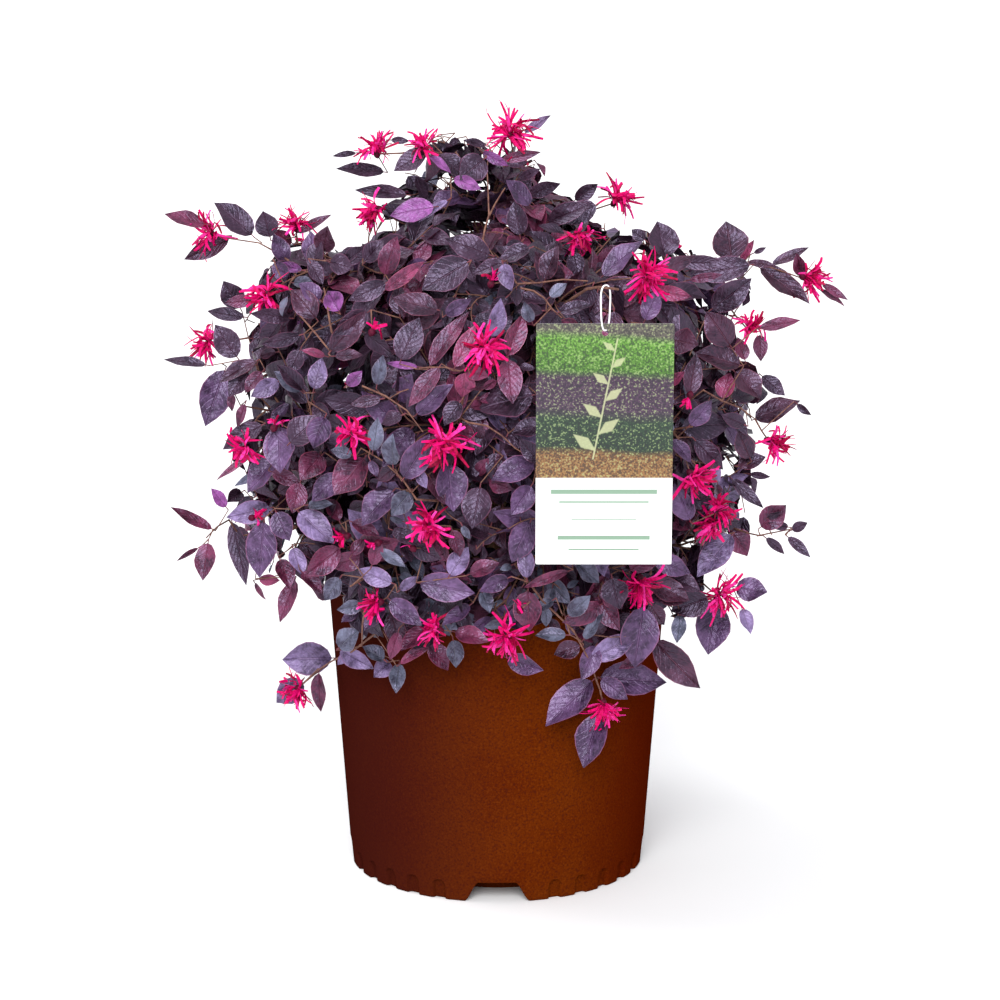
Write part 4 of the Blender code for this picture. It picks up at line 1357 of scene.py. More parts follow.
class Space:
    """Tells whether a leaf may lie somewhere."""

    gap_margin = 1.5
    pot_margin = 0.003
    over_top = 0.006
    way_start = -0.004
    way_end = 0.09

    def __init__(self, crown: CrownForm, pot: "Pot", tag: "HangTag", view: PhotoView) -> None:
        """Notes what leaves keep clear of.

        Args:
            crown: The crown's outer form.
            pot: The pot.
            tag: The hang tag.
            view: The photo's viewing point.
        """
        self.crown = crown
        self.pot = pot
        self.tag = tag
        self.view = view
        self.gaps = np.array(PHOTO_GAPS, dtype=float)
        self.edge = np.array(LEAFY_EDGE, dtype=float)
        self.next_edge = np.roll(self.edge, -1, axis=0)
        self.shown: list[tuple[float, ...]] = []
        self.table = np.zeros((0, 7))

    def keep_seen(self, spot: Vector, axis: Vector, radius: float) -> None:
        """Keeps leaves out of the way of something that shows.

        Args:
            spot: Its middle.
            axis: The way that it is seen from.
            radius: Radius of the clear way.
        """
        self.shown.append((*spot, *axis, radius))
        self.table = np.array(self.shown)

    def in_the_way(self, spots: list[Vector]) -> bool:
        """Whether a point lies in front of something that shows."""
        away = rows_of(spots)[:, None, :] - self.table[None, :, :3]
        axes = self.table[None, :, 3:6]
        ahead = np.sum(away * axes, axis=-1)
        aside = np.linalg.norm(away - ahead[..., None] * axes, axis=-1)
        within = (ahead > self.way_start) & (ahead < self.way_end)
        return bool(np.any(within & (aside < self.table[None, :, 6])))

    def in_picture(self, spots: list[Vector]) -> bool:
        """Whether points keep inside the photo's leafy outline and clear of its gaps."""
        pixels = np.array([self.view.pixel(spot)[:2] for spot in spots])
        away = np.linalg.norm(pixels[:, None, :] - self.gaps[None, :, :2], axis=-1)
        if np.any(away < self.gaps[None, :, 2] + self.gap_margin):
            return False
        x, y = pixels[:, 0:1], pixels[:, 1:2]
        x0, y0 = self.edge[None, :, 0], self.edge[None, :, 1]
        x1, y1 = self.next_edge[None, :, 0], self.next_edge[None, :, 1]
        level = np.where(y1 == y0, 1.0, y1 - y0)
        crossed = ((y0 > y) != (y1 > y)) & (x < x0 + (x1 - x0) * (y - y0) / level)
        return bool(np.all(np.sum(crossed, axis=1) % 2 == 1))

    def free(self, leaf: Leaf, slack: float) -> bool:
        """Whether a leaf lies inside the crown and clear of pot, tag and what shows.

        Args:
            leaf: The leaf.
            slack: How far it may stand out of the crown.

        Returns:
            True where it may stay.
        """
        marks = leaf.marks()
        for spot in marks:
            if self.crown.beyond(spot) > slack or spot.z < self.crown.foot - slack:
                return False
            if spot.z > self.crown.top + self.over_top or self.tag.covers(spot):
                return False
            if not self.pot.clear(spot, self.pot_margin):
                return False
        return self.in_picture(marks) and not self.in_the_way(marks)


# Pot, mix and tag


class RingLathe:
    """Draws a turned wall ring by ring, with extrude and resize in edit mode."""

    def __init__(self, name: str, radius: float, height: float, segments: int) -> None:
        """Starts with a filled disc.

        Args:
            name: The piece's name.
            radius: The disc's radius.
            height: The disc's height.
            segments: Corners round the wall.
        """
        bpy.ops.object.select_all(action="DESELECT")
        bpy.ops.mesh.primitive_circle_add(
            vertices=segments, radius=radius, fill_type="TRIFAN", location=(0.0, 0.0, height)
        )
        self.piece = bpy.context.object
        self.piece.name = name
        self.piece.data.name = name
        self.radius = radius
        self.height = height
        bpy.ops.object.mode_set(mode="EDIT")
        bpy.ops.mesh.select_mode(type="EDGE")
        bpy.ops.mesh.select_all(action="DESELECT")
        drawn = bmesh.from_edit_mesh(self.piece.data)
        for edge in drawn.edges:
            edge.select_set(edge.is_boundary)
        bmesh.update_edit_mesh(self.piece.data)

    def ring(self, radius: float, height: float) -> None:
        """Extrudes the wall to its next ring.

        Args:
            radius: The ring's radius.
            height: The ring's height.
        """
        lift = (0.0, 0.0, height - self.height)
        bpy.ops.mesh.extrude_edges_move(TRANSFORM_OT_translate={"value": lift})
        share = radius / self.radius
        bpy.ops.transform.resize(value=(share, share, 1.0), center_override=(0.0, 0.0, height))
        self.radius = radius
        self.height = height

    def close(self) -> bpy.types.Object:
        """Fills the last ring and turns all faces outwards.

        Returns:
            The finished piece, at the origin.
        """
        bpy.ops.mesh.edge_face_add()
        bpy.ops.mesh.select_mode(type="FACE")
        bpy.ops.mesh.poke()
        bpy.ops.mesh.select_all(action="SELECT")
        bpy.ops.mesh.normals_make_consistent(inside=False)
        bpy.ops.object.mode_set(mode="OBJECT")
        bpy.ops.object.transform_apply(location=True, rotation=True, scale=True)
        return self.piece


def corners_of(piece: bpy.types.Object) -> np.ndarray:
    """Corner places of a piece, as corners by 3."""
    flat = np.zeros(len(piece.data.vertices) * 3)
    piece.data.vertices.foreach_get("co", flat)
    return flat.reshape(-1, 3)


def move_corners(piece: bpy.types.Object, places: np.ndarray) -> None:
    """Writes corner places back to a piece."""
    piece.data.vertices.foreach_set("co", places.ravel())
    piece.data.update()


def report(
    piece: bpy.types.Object, materials: list[bpy.types.Material], nodes: list[str]
) -> bpy.types.Object:
    """Dresses a piece, tells the frame about it and logs it.

    Args:
        piece: The piece.
        materials: Its materials, in order.
        nodes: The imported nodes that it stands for.

    Returns:
        The piece.
    """
    piece.data.materials.clear()
    for material in materials:
        piece.data.materials.append(material)
    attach(piece, BODY)
    if nodes:
        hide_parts(*nodes)
    log.info("%s: %d faces", piece.name, len(piece.data.polygons))
    return piece


@dataclass
class Pot:
    """The nursery pot: flared wall, small lip, arched recesses and drain notches in its foot."""

    height: float = 0.235
    foot_radius: float = 0.120
    flare: float = 0.0714
    wall: float = 0.0025
    lip_height: float = 0.005
    lip_proud: float = 0.002
    skirt_thickness: float = 0.0066
    skirt_height: float = 0.018
    pad_radius: float = 0.085
    floor: float = 0.003
    segments: int = 720
    arch_step: float = 11.25
    arch_reach: int = 2
    arch_width: float = 0.0105
    arch_height: float = 0.016
    arch_depth: float = 0.0032
    notch_height: float = 0.016
    notch_top_angle: float = 7.2
    notch_foot_angle: float = 12.3
    notch_fade: float = 0.0205
    outer_skin: float = 0.0036
    foot_round: Pairs = ((-0.0030, 0.0), (-0.0010, 0.0002), (-0.0003, 0.0007), (0.0001, 0.0016))
    wall_heights: Numbers = (0.0235, 0.028, 0.036, 0.050, 0.075, 0.10, 0.13, 0.16, 0.19, 0.213, 0.226)
    inner_heights: Numbers = (0.20, 0.14, 0.08, 0.040)

    def wall_radius(self, height: float | np.ndarray) -> float | np.ndarray:
        """Outer radius of the wall at a height."""
        return self.foot_radius + self.flare * height

    def clear(self, spot: Vector, margin: float) -> bool:
        """Whether a point is clear of the pot and what it holds."""
        if spot.z > self.height + margin:
            return True
        return math.hypot(spot.x, spot.y) > self.wall_radius(self.height) + self.lip_proud + margin

    def profile(self) -> list[tuple[float, float]]:
        """Rings of the wall: under the foot, up the outside, over the lip and down the inside.

        Returns:
            Radii and heights.
        """
        top = self.height
        under_lip = top - self.lip_height
        channel = self.skirt_height + self.floor
        foot = self.foot_radius
        rings = [
            (self.pad_radius + 0.0008, 0.0006),
            (self.pad_radius + 0.0014, 0.010),
            (self.pad_radius + 0.002, self.skirt_height),
        ]
        inner = foot - self.skirt_thickness
        for share in (1.0, 0.8, 0.6, 0.4, 0.2, 0.06):
            height = self.skirt_height * share
            rings.append((inner + self.flare * height, height))
        rings += [(inner + 0.0006, 0.0002), (inner + 0.0014, 0.0)]
        rings += [(foot + out, height) for out, height in self.foot_round]
        heights = [0.0033 + 0.0012 * k for k in range(16)]
        rings += [(self.wall_radius(height), height) for height in (*heights, *self.wall_heights)]
        edge = self.wall_radius(top) + self.lip_proud
        rings += [
            (self.wall_radius(under_lip), under_lip - 0.0012),
            (self.wall_radius(under_lip) + 0.0003, under_lip - 0.0004),
            (edge - 0.0006, under_lip), (edge - 0.0001, under_lip + 0.0006), (edge, top - 0.0016),
            (edge - 0.0003, top - 0.0006), (edge - 0.0010, top), (edge - 0.0032, top),
            (self.wall_radius(top) - self.wall + 0.0003, top - 0.0004),
        ]
        inside = (top - 0.0014, top - 0.006, *self.inner_heights, channel + 0.001)
        rings += [(self.wall_radius(height) - self.wall, height) for height in inside]
        rings += [
            (self.wall_radius(channel) - self.wall - 0.0015, channel),
            (self.pad_radius - 0.001, channel),
            (self.pad_radius - 0.003, self.floor),
        ]
        return rings

    def arch_relief(self, turn: np.ndarray, height: np.ndarray) -> np.ndarray:
        """How far the arched recesses are pressed in.

        Args:
            turn: Azimuth of each corner, in degrees.
            height: Height of each corner.

        Returns:
            The share of the full depth, 0 to 1.
        """
        half = self.arch_width / 2
        quarter = (turn % 90.0) - 45.0
        steps = np.clip(np.round(quarter / self.arch_step), -self.arch_reach, self.arch_reach)
        nearest = steps * self.arch_step
        side = np.abs(np.radians(quarter - nearest)) * self.foot_radius
        crown = np.maximum(height - (self.arch_height - half), 0.0)
        outside = np.hypot(side, crown) - half
        return 1.0 - soft_step(outside, -0.0009, 0.0003)

    def notch_lift(self, turn: np.ndarray) -> np.ndarray:
        """Height of the drain notches' edge at each azimuth."""
        away = np.abs((turn + 45.0) % 90.0 - 45.0)
        share = (self.notch_foot_angle - away) / (self.notch_foot_angle - self.notch_top_angle)
        share = np.clip(share, 0.0, 1.0)
        return self.notch_height * (0.45 * share + 0.55 * soft_step(share, 0.0, 1.0))

    def build(self) -> bpy.types.Object:
        """Turns the pot, presses its recesses in and raises its notches.

        Returns:
            The pot.
        """
        lathe = RingLathe("nursery_pot", self.pad_radius, 0.0, self.segments)
        for radius, height in self.profile():
            lathe.ring(radius, height)
        pot = lathe.close()
        places = corners_of(pot)
        reach = np.hypot(places[:, 0], places[:, 1])
        turn = np.degrees(np.arctan2(places[:, 0], -places[:, 1]))
        height = places[:, 2].copy()
        wall = self.wall_radius(height)
        outer = (reach > wall - self.outer_skin) & (height < self.notch_fade + 0.003)
        pressed = self.arch_relief(turn, height) * self.arch_depth
        share = np.where(outer, (reach - pressed) / np.maximum(reach, 1e-6), 1.0)
        places[:, :2] *= share[:, None]
        skirt = (reach > wall - self.skirt_thickness - 0.0004) & (height < self.notch_fade)
        fade = np.where(reach > wall - self.outer_skin, self.notch_fade, self.skirt_height)
        lift = np.minimum(self.notch_lift(turn), fade - 0.0002)
        raised = lift + height * np.maximum(0.0, 1.0 - lift / fade)
        places[:, 2] = np.where(skirt & (height < fade), raised, height)
        move_corners(pot, places)
        smooth_by_angle(pot, 50.0)
        return pot

    def dress(self, piece: bpy.types.Object) -> None:
        """Gives the pot its plastic."""
        report(piece, [PotFinish().material()], ["pot"])


@dataclass
class PottingMix:
    """The mix that fills the pot: an uneven top strewn with bark chips."""

    pot: Pot
    top: float = 0.2145
    edge: float = 0.211
    segments: int = 120
    top_rings: int = 24
    gap: float = 0.0004
    swells: Pairs = ((70.0, 0.4), (160.0, 1.9), (330.0, 2.6))
    swell_height: float = 0.0008
    grain: float = 0.0009
    chip_count: int = 520
    chip_size: float = 0.0075
    chip_thickness: float = 0.24

    def build(self, rng: random.Random) -> bpy.types.Object:
        """Turns the mix and roughens its top.

        Args:
            rng: The seeded source of chance.

        Returns:
            The mix.
        """
        pot = self.pot
        channel = pot.skirt_height + pot.floor
        clear = pot.wall + 0.0005
        foot = pot.floor + self.gap
        lathe = RingLathe("potting_mix_filling", pot.pad_radius - 0.006, foot, self.segments)
        lathe.ring(pot.pad_radius - 0.004, channel + self.gap)
        lathe.ring(pot.wall_radius(channel) - clear, channel + self.gap)
        for height in (0.08, 0.14, 0.19, self.edge):
            lathe.ring(pot.wall_radius(height) - clear, height)
        rim = pot.wall_radius(self.edge) - clear
        for k in range(1, self.top_rings):
            share = 1.0 - k / self.top_rings
            rise = min(1.0, (1.0 - share) * 2.2)
            lathe.ring(rim * share, self.edge + (self.top - self.edge) * rise)
        mix = lathe.close()
        places = corners_of(mix)
        reach = np.hypot(places[:, 0], places[:, 1])
        top = (places[:, 2] > self.edge - 0.0005) & (reach < rim - 0.001)
        rough = sum(
            np.sin(places[:, 0] * scale + phase) * np.cos(places[:, 1] * scale * 1.1 - phase)
            for scale, phase in self.swells
        )
        grain = np.array([rng.uniform(-self.grain, self.grain) for _ in range(len(places))])
        places[:, 2] += np.where(top, rough * self.swell_height + grain, 0.0)
        move_corners(mix, places)
        smooth_by_angle(mix, 50.0)
        return mix

    def chips(self, rng: random.Random) -> bpy.types.Object:
        """Strews small flat bark chips over the top.

        Args:
            rng: The seeded source of chance.

        Returns:
            The chips, joined.
        """
        corners = np.array([(x, y, z) for z in (-1, 1) for y in (-1, 1) for x in (-1, 1)], float)
        faces = [(0, 2, 3, 1), (4, 5, 7, 6), (0, 1, 5, 4), (2, 6, 7, 3), (0, 4, 6, 2), (1, 3, 7, 5)]
        rim = self.pot.wall_radius(self.edge) - self.pot.wall - 0.008
        places = []
        for _ in range(self.chip_count):
            reach = rim * math.sqrt(rng.uniform(0.012, 1.0))
            spot = around(rng.uniform(0.0, 360.0), reach, self.top - 0.0006 - 0.003 * reach / rim)
            size = self.chip_size * rng.uniform(0.4, 1.0) / 2
            sides = (size, size * rng.uniform(0.35, 0.7), size * self.chip_thickness)
            shape = corners * np.array(sides)
            shape += np.array([[rng.uniform(-0.2, 0.2) * size for _ in range(3)] for _ in range(8)])
            turn = Matrix.Rotation(rng.uniform(0, math.tau), 3, "Z")
            turn = turn @ Matrix.Rotation(rng.uniform(-0.4, 0.4), 3, "X")
            turn = turn @ Matrix.Rotation(rng.uniform(-0.4, 0.4), 3, "Y")
            places.append(shape @ np.array(turn).T + np.array(tuple(spot)))
        return joined("bark_chips", np.array(places), UnitShape(faces))

    def dress(self, mix: bpy.types.Object, chips: bpy.types.Object) -> None:
        """Gives the mix and its chips their finishes."""
        crumb = MixFinish("damp_mix", srgb(30, 22, 16), srgb(72, 52, 38))
        chip = MixFinish("bark_chip", srgb(66, 42, 26), srgb(128, 86, 54))
        report(mix, [crumb.material()], ["potting_mix"])
        report(chips, [chip.material()], [])


@dataclass
class HangTag:
    """The card that hangs from a twig, and its thread."""

    low: Vector
    high: Vector
    loop_low: Vector
    loop_high: Vector
    twig_height: float = 0.5035
    azimuth: float = 45.0
    thread: float = 0.0006
    margin: float = 0.004
    loop_margin: float = 0.009
    loop_steps: int = 56
    loop_half: float = 0.0064
    loop_pinch: float = 0.72
    twig_rise: float = 0.006

    @property
    def middle(self) -> Vector:
        """Middle of the card."""
        return (self.low + self.high) / 2

    def covers(self, spot: Vector) -> bool:
        """Whether a point lies in the card, in front of it or at its loop."""
        aside = abs(spot.x - self.middle.x)
        behind = spot.y - self.middle.y
        level = self.low.z - self.margin < spot.z < self.high.z + self.margin
        if aside <= (self.high.x - self.low.x) / 2 + self.margin and level and behind < self.margin:
            return True
        near = aside < self.loop_margin and behind < self.loop_margin
        return near and self.high.z - 0.012 < spot.z < self.twig_height + 0.006

    def twig(self, start: Vector) -> Path:
        """Draws the twig that carries the card.

        Args:
            start: Where the twig leaves its stem.

        Returns:
            The twig's path, level where the thread hangs.
        """
        heading = around(self.azimuth, 1.0, 0.0)
        point = Vector((self.middle.x, self.middle.y, self.twig_height))
        before = point - heading * 0.014
        bow = [
            start.lerp(before, share) + UP * (self.twig_rise * lift)
            for share, lift in ((0.3, 0.7), (0.6, 1.0), (0.85, 0.3))
        ]
        return [start, *bow, before, point, point + heading * 0.012]

    def loop(self) -> bpy.types.Object:
        """Bends the thread over the twig and through the card's hole.

        Returns:
            The thread, as a closed ring.
        """
        heading = around(self.azimuth, 1.0, 0.0)
        across = Vector((-heading.y, heading.x, 0.0))
        top = self.loop_high.z - self.thread
        bottom = self.loop_low.z + self.thread
        route = []
        for k in range(self.loop_steps):
            turn = math.tau * k / self.loop_steps
            side = math.cos(turn)
            rise = math.sin(turn)
            pinch = self.loop_pinch + (1.0 - self.loop_pinch) * max(0.0, rise)
            height = (top + bottom) / 2 + (top - bottom) / 2 * rise
            bulge = side * abs(side) ** -0.25 if abs(side) > 1e-6 else 0.0
            middle = Vector((self.middle.x, self.middle.y, height))
            route.append(middle + across * (self.loop_half * pinch * bulge))
        return limb("tag_thread", route, [self.thread] * self.loop_steps, 3, cyclic=True)

    def dress(self, piece: bpy.types.Object) -> None:
        """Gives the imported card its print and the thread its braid."""
        card = frame["nodes"]["hang_tag"]
        card.data.materials.clear()
        card.data.materials.append(CardFinish(self.low, self.high).material())
        log.info("hang_tag: %d faces, kept", len(card.data.polygons))
        report(piece, [ThreadFinish().material()], ["tag_loop"])


# Limbs, twigs, leaves and blossoms


def limb(
    name: str, path: Path, radii: list[float], fineness: int, cyclic: bool = False
) -> bpy.types.Object:
    """Sweeps a round limb along a path.

    Args:
        name: The limb's name.
        path: Its middle line.
        radii: Its radius at each point.
        fineness: Roundness of its section.
        cyclic: Whether it closes on itself.

    Returns:
        The limb as a closed mesh, at the origin.
    """
    unit = 0.01
    bpy.ops.object.select_all(action="DESELECT")
    bpy.ops.curve.primitive_nurbs_path_add(location=(0.0, 0.0, 0.0))
    piece = bpy.context.object
    piece.name = name
    curve = piece.data
    curve.name = name
    curve.splines.clear()
    spline = curve.splines.new("POLY")
    spline.points.add(len(path) - 1)
    spline.use_cyclic_u = cyclic
    for point, spot, radius in zip(spline.points, path, radii):
        point.co = (*spot, 1.0)
        point.radius = radius / unit
    curve.dimensions = "3D"
    curve.bevel_depth = unit
    curve.bevel_resolution = fineness
    curve.use_fill_caps = not cyclic
    bpy.ops.object.convert(target="MESH")
    piece = bpy.context.object
    piece.name = name
    bpy.ops.object.mode_set(mode="EDIT")
    bpy.ops.mesh.select_all(action="SELECT")
    bpy.ops.mesh.remove_doubles(threshold=0.00001)
    bpy.ops.mesh.normals_make_consistent(inside=False)
    bpy.ops.object.mode_set(mode="OBJECT")
    return piece


@dataclass
class Wood:
    """The trunk and boughs with their bark's relief."""

    skeleton: Skeleton
    relief: float = 0.0011
    trunk_rings: int = 90
    bough_rings: int = 31
    trunk_plate: float = 0.006
    bough_plate: float = 0.004

    def barked(self, piece: bpy.types.Object, size: float, depth: float) -> bpy.types.Object:
        """Raises bark on a limb.

        Args:
            piece: The limb.
            size: Size of the bark's plates.
            depth: Height of the relief.

        Returns:
            The limb.
        """
        plates = bpy.data.textures.new(piece.name + "_plates", "CLOUDS")
        plates.noise_scale = size
        plates.noise_depth = 3
        raised = piece.modifiers.new("bark", "DISPLACE")
        raised.texture = plates
        raised.texture_coords = "LOCAL"
        raised.strength = depth
        raised.mid_level = 0.5
        select_only(piece)
        bpy.ops.object.modifier_apply(modifier=raised.name)
        smooth_by_angle(piece, 60.0)
        return piece

    def trunk(self) -> bpy.types.Object:
        """Builds the trunk from its foot in the mix to its tip."""
        bones = self.skeleton
        span = bones.tip_height - bones.foot
        shares = [k / (self.trunk_rings - 1) for k in range(self.trunk_rings)]
        heights = [bones.foot + span * share ** 1.25 for share in shares]
        path = [bones.trunk_centre(height) for height in heights]
        radii = [bones.trunk_radius(height) for height in heights]
        return self.barked(limb("bark_trunk", path, radii, 8), self.trunk_plate, self.relief)

    def boughs(self, masses: list[Mass]) -> bpy.types.Object:
        """Builds every bough, and joins them.

        Args:
            masses: The masses, with their boughs' paths.

        Returns:
            The boughs.
        """
        bones = self.skeleton
        last = self.bough_rings - 1
        thinner = bones.bough_tip_radius - bones.bough_radius
        radii = [bones.bough_radius + thinner * k / last for k in range(last + 1)]
        limbs = []
        for mass in masses:
            if mass.bough:
                path = [along(mass.bough, k / last)[0] for k in range(last + 1)]
                bough = limb("bough", path, radii, 4)
                limbs.append(self.barked(bough, self.bough_plate, self.relief * 0.5))
        select_only(limbs[0])
        for piece in limbs:
            piece.select_set(True)
        bpy.ops.object.join()
        boughs = bpy.context.object
        boughs.name = "bark_boughs"
        boughs.data.name = "bark_boughs"
        return boughs

    def dress(self, trunk: bpy.types.Object, boughs: bpy.types.Object, masses: list[Mass]) -> None:
        """Gives the wood its bark."""
        bark = BarkFinish("old_bark", srgb(150, 116, 88), srgb(74, 54, 40), 110.0, 0.0012).material()
        report(trunk, [bark], ["trunk"])
        report(boughs, [bark], ["bough_" + mass.name for mass in masses if mass.bough])


@dataclass
class LeafBlade:
    """The leaf's form: a closed ovate blade, folded at its midrib, with a map of its own."""

    stations: Numbers = (0.07, 0.20, 0.35, 0.50, 0.66, 0.82, 0.93)
    columns: Numbers = (-1.0, -0.5, 0.0, 0.5, 1.0)
    thickness: float = 0.0005
    bulge: float = 0.05

    def outline(self, run: np.ndarray) -> np.ndarray:
        """Half width at a share of the length, 0 to 1: round at the base and pointed at the tip."""
        arch = np.sin(math.pi * np.clip(run, 0.0, 1.0) ** 0.85)
        return np.clip(arch, 0.0, 1.0) ** (0.62 + 0.42 * run)

    def unit(self) -> tuple[np.ndarray, UnitShape]:
        """Lists the blade's corners and faces.

        Returns:
            Each corner's run, side and depth, and the faces.
        """
        corners = [(0.0, 0.0, 0.0)]
        for run in self.stations:
            corners += [(run, side, 0.0) for side in self.columns]
        wide = len(self.columns)
        tip = len(corners)
        corners.append((1.0, 0.0, 0.0))
        ribs = [tip + 1 + k for k in range(len(self.stations))]
        corners += [(run, 0.0, -1.0) for run in self.stations]
        last = len(self.stations) - 1
        faces: list[tuple[int, ...]] = []
        for k in range(wide - 1):
            faces.append((0, 1 + k, 2 + k))
            faces.append((1 + last * wide + k, tip, 2 + last * wide + k))
            for row in range(last):
                low, high = 1 + row * wide + k, 1 + (row + 1) * wide + k
                faces.append((low, high, high + 1, low + 1))
        top_faces = len(faces)
        for row in range(last):
            low, high = 1 + row * wide, 1 + (row + 1) * wide
            faces.append((low, ribs[row], ribs[row + 1], high))
            faces.append((ribs[row], low + wide - 1, high + wide - 1, ribs[row + 1]))
        first, final = 1, 1 + last * wide
        faces.append((0, ribs[0], first))
        faces.append((0, first + wide - 1, ribs[0]))
        faces.append((final, ribs[last], tip))
        faces.append((ribs[last], final + wide - 1, tip))
        table = np.array(corners)
        spots = np.stack((table[:, 0], 0.5 + table[:, 1] * 0.5), axis=1)
        materials = [0] * top_faces + [1] * (len(faces) - top_faces)
        return table, UnitShape(faces, spots, materials)

    def build(self, name: str, leaves: list[Leaf]) -> bpy.types.Object:
        """Joins many leaves into one piece.

        Args:
            name: The piece's name.
            leaves: Their places and forms.

        Returns:
            The leaves.
        """
        table, unit = self.unit()
        run, side, depth = (table[None, :, k] for k in range(3))
        outline = self.outline(run)
        sizes = np.array([
            (leaf.length, leaf.width, leaf.fold, leaf.curl, leaf.phase, leaf.sway, leaf.twist)
            for leaf in leaves
        ])
        length, width, fold, curl, phase, sway, twist = (sizes[:, k : k + 1] for k in range(7))
        half = outline * width / 2
        x = length * run * (1.0 - 0.25 * curl * run)
        y = half * side * (1.0 - 0.12 * fold)
        ripple = 0.16 * np.sin(9.0 * run + phase) * np.abs(side) * half
        arch = self.bulge * (1.0 - np.abs(2.0 * np.abs(side) - 1.0)) * half
        z = fold * np.abs(side) * half + ripple + arch - curl * length * run ** 2
        z = z + depth * self.thickness
        turn = twist * run
        y, z = y * np.cos(turn) - z * np.sin(turn), y * np.sin(turn) + z * np.cos(turn)
        y = y + sway * length * run ** 2
        roots, runs, wides, faces = (
            rows_of(getattr(leaf, part) for leaf in leaves)[:, None, :]
            for part in ("root", "along", "across", "facing")
        )
        points = roots + x[..., None] * runs + y[..., None] * wides + z[..., None] * faces
        return joined(name, points, unit)


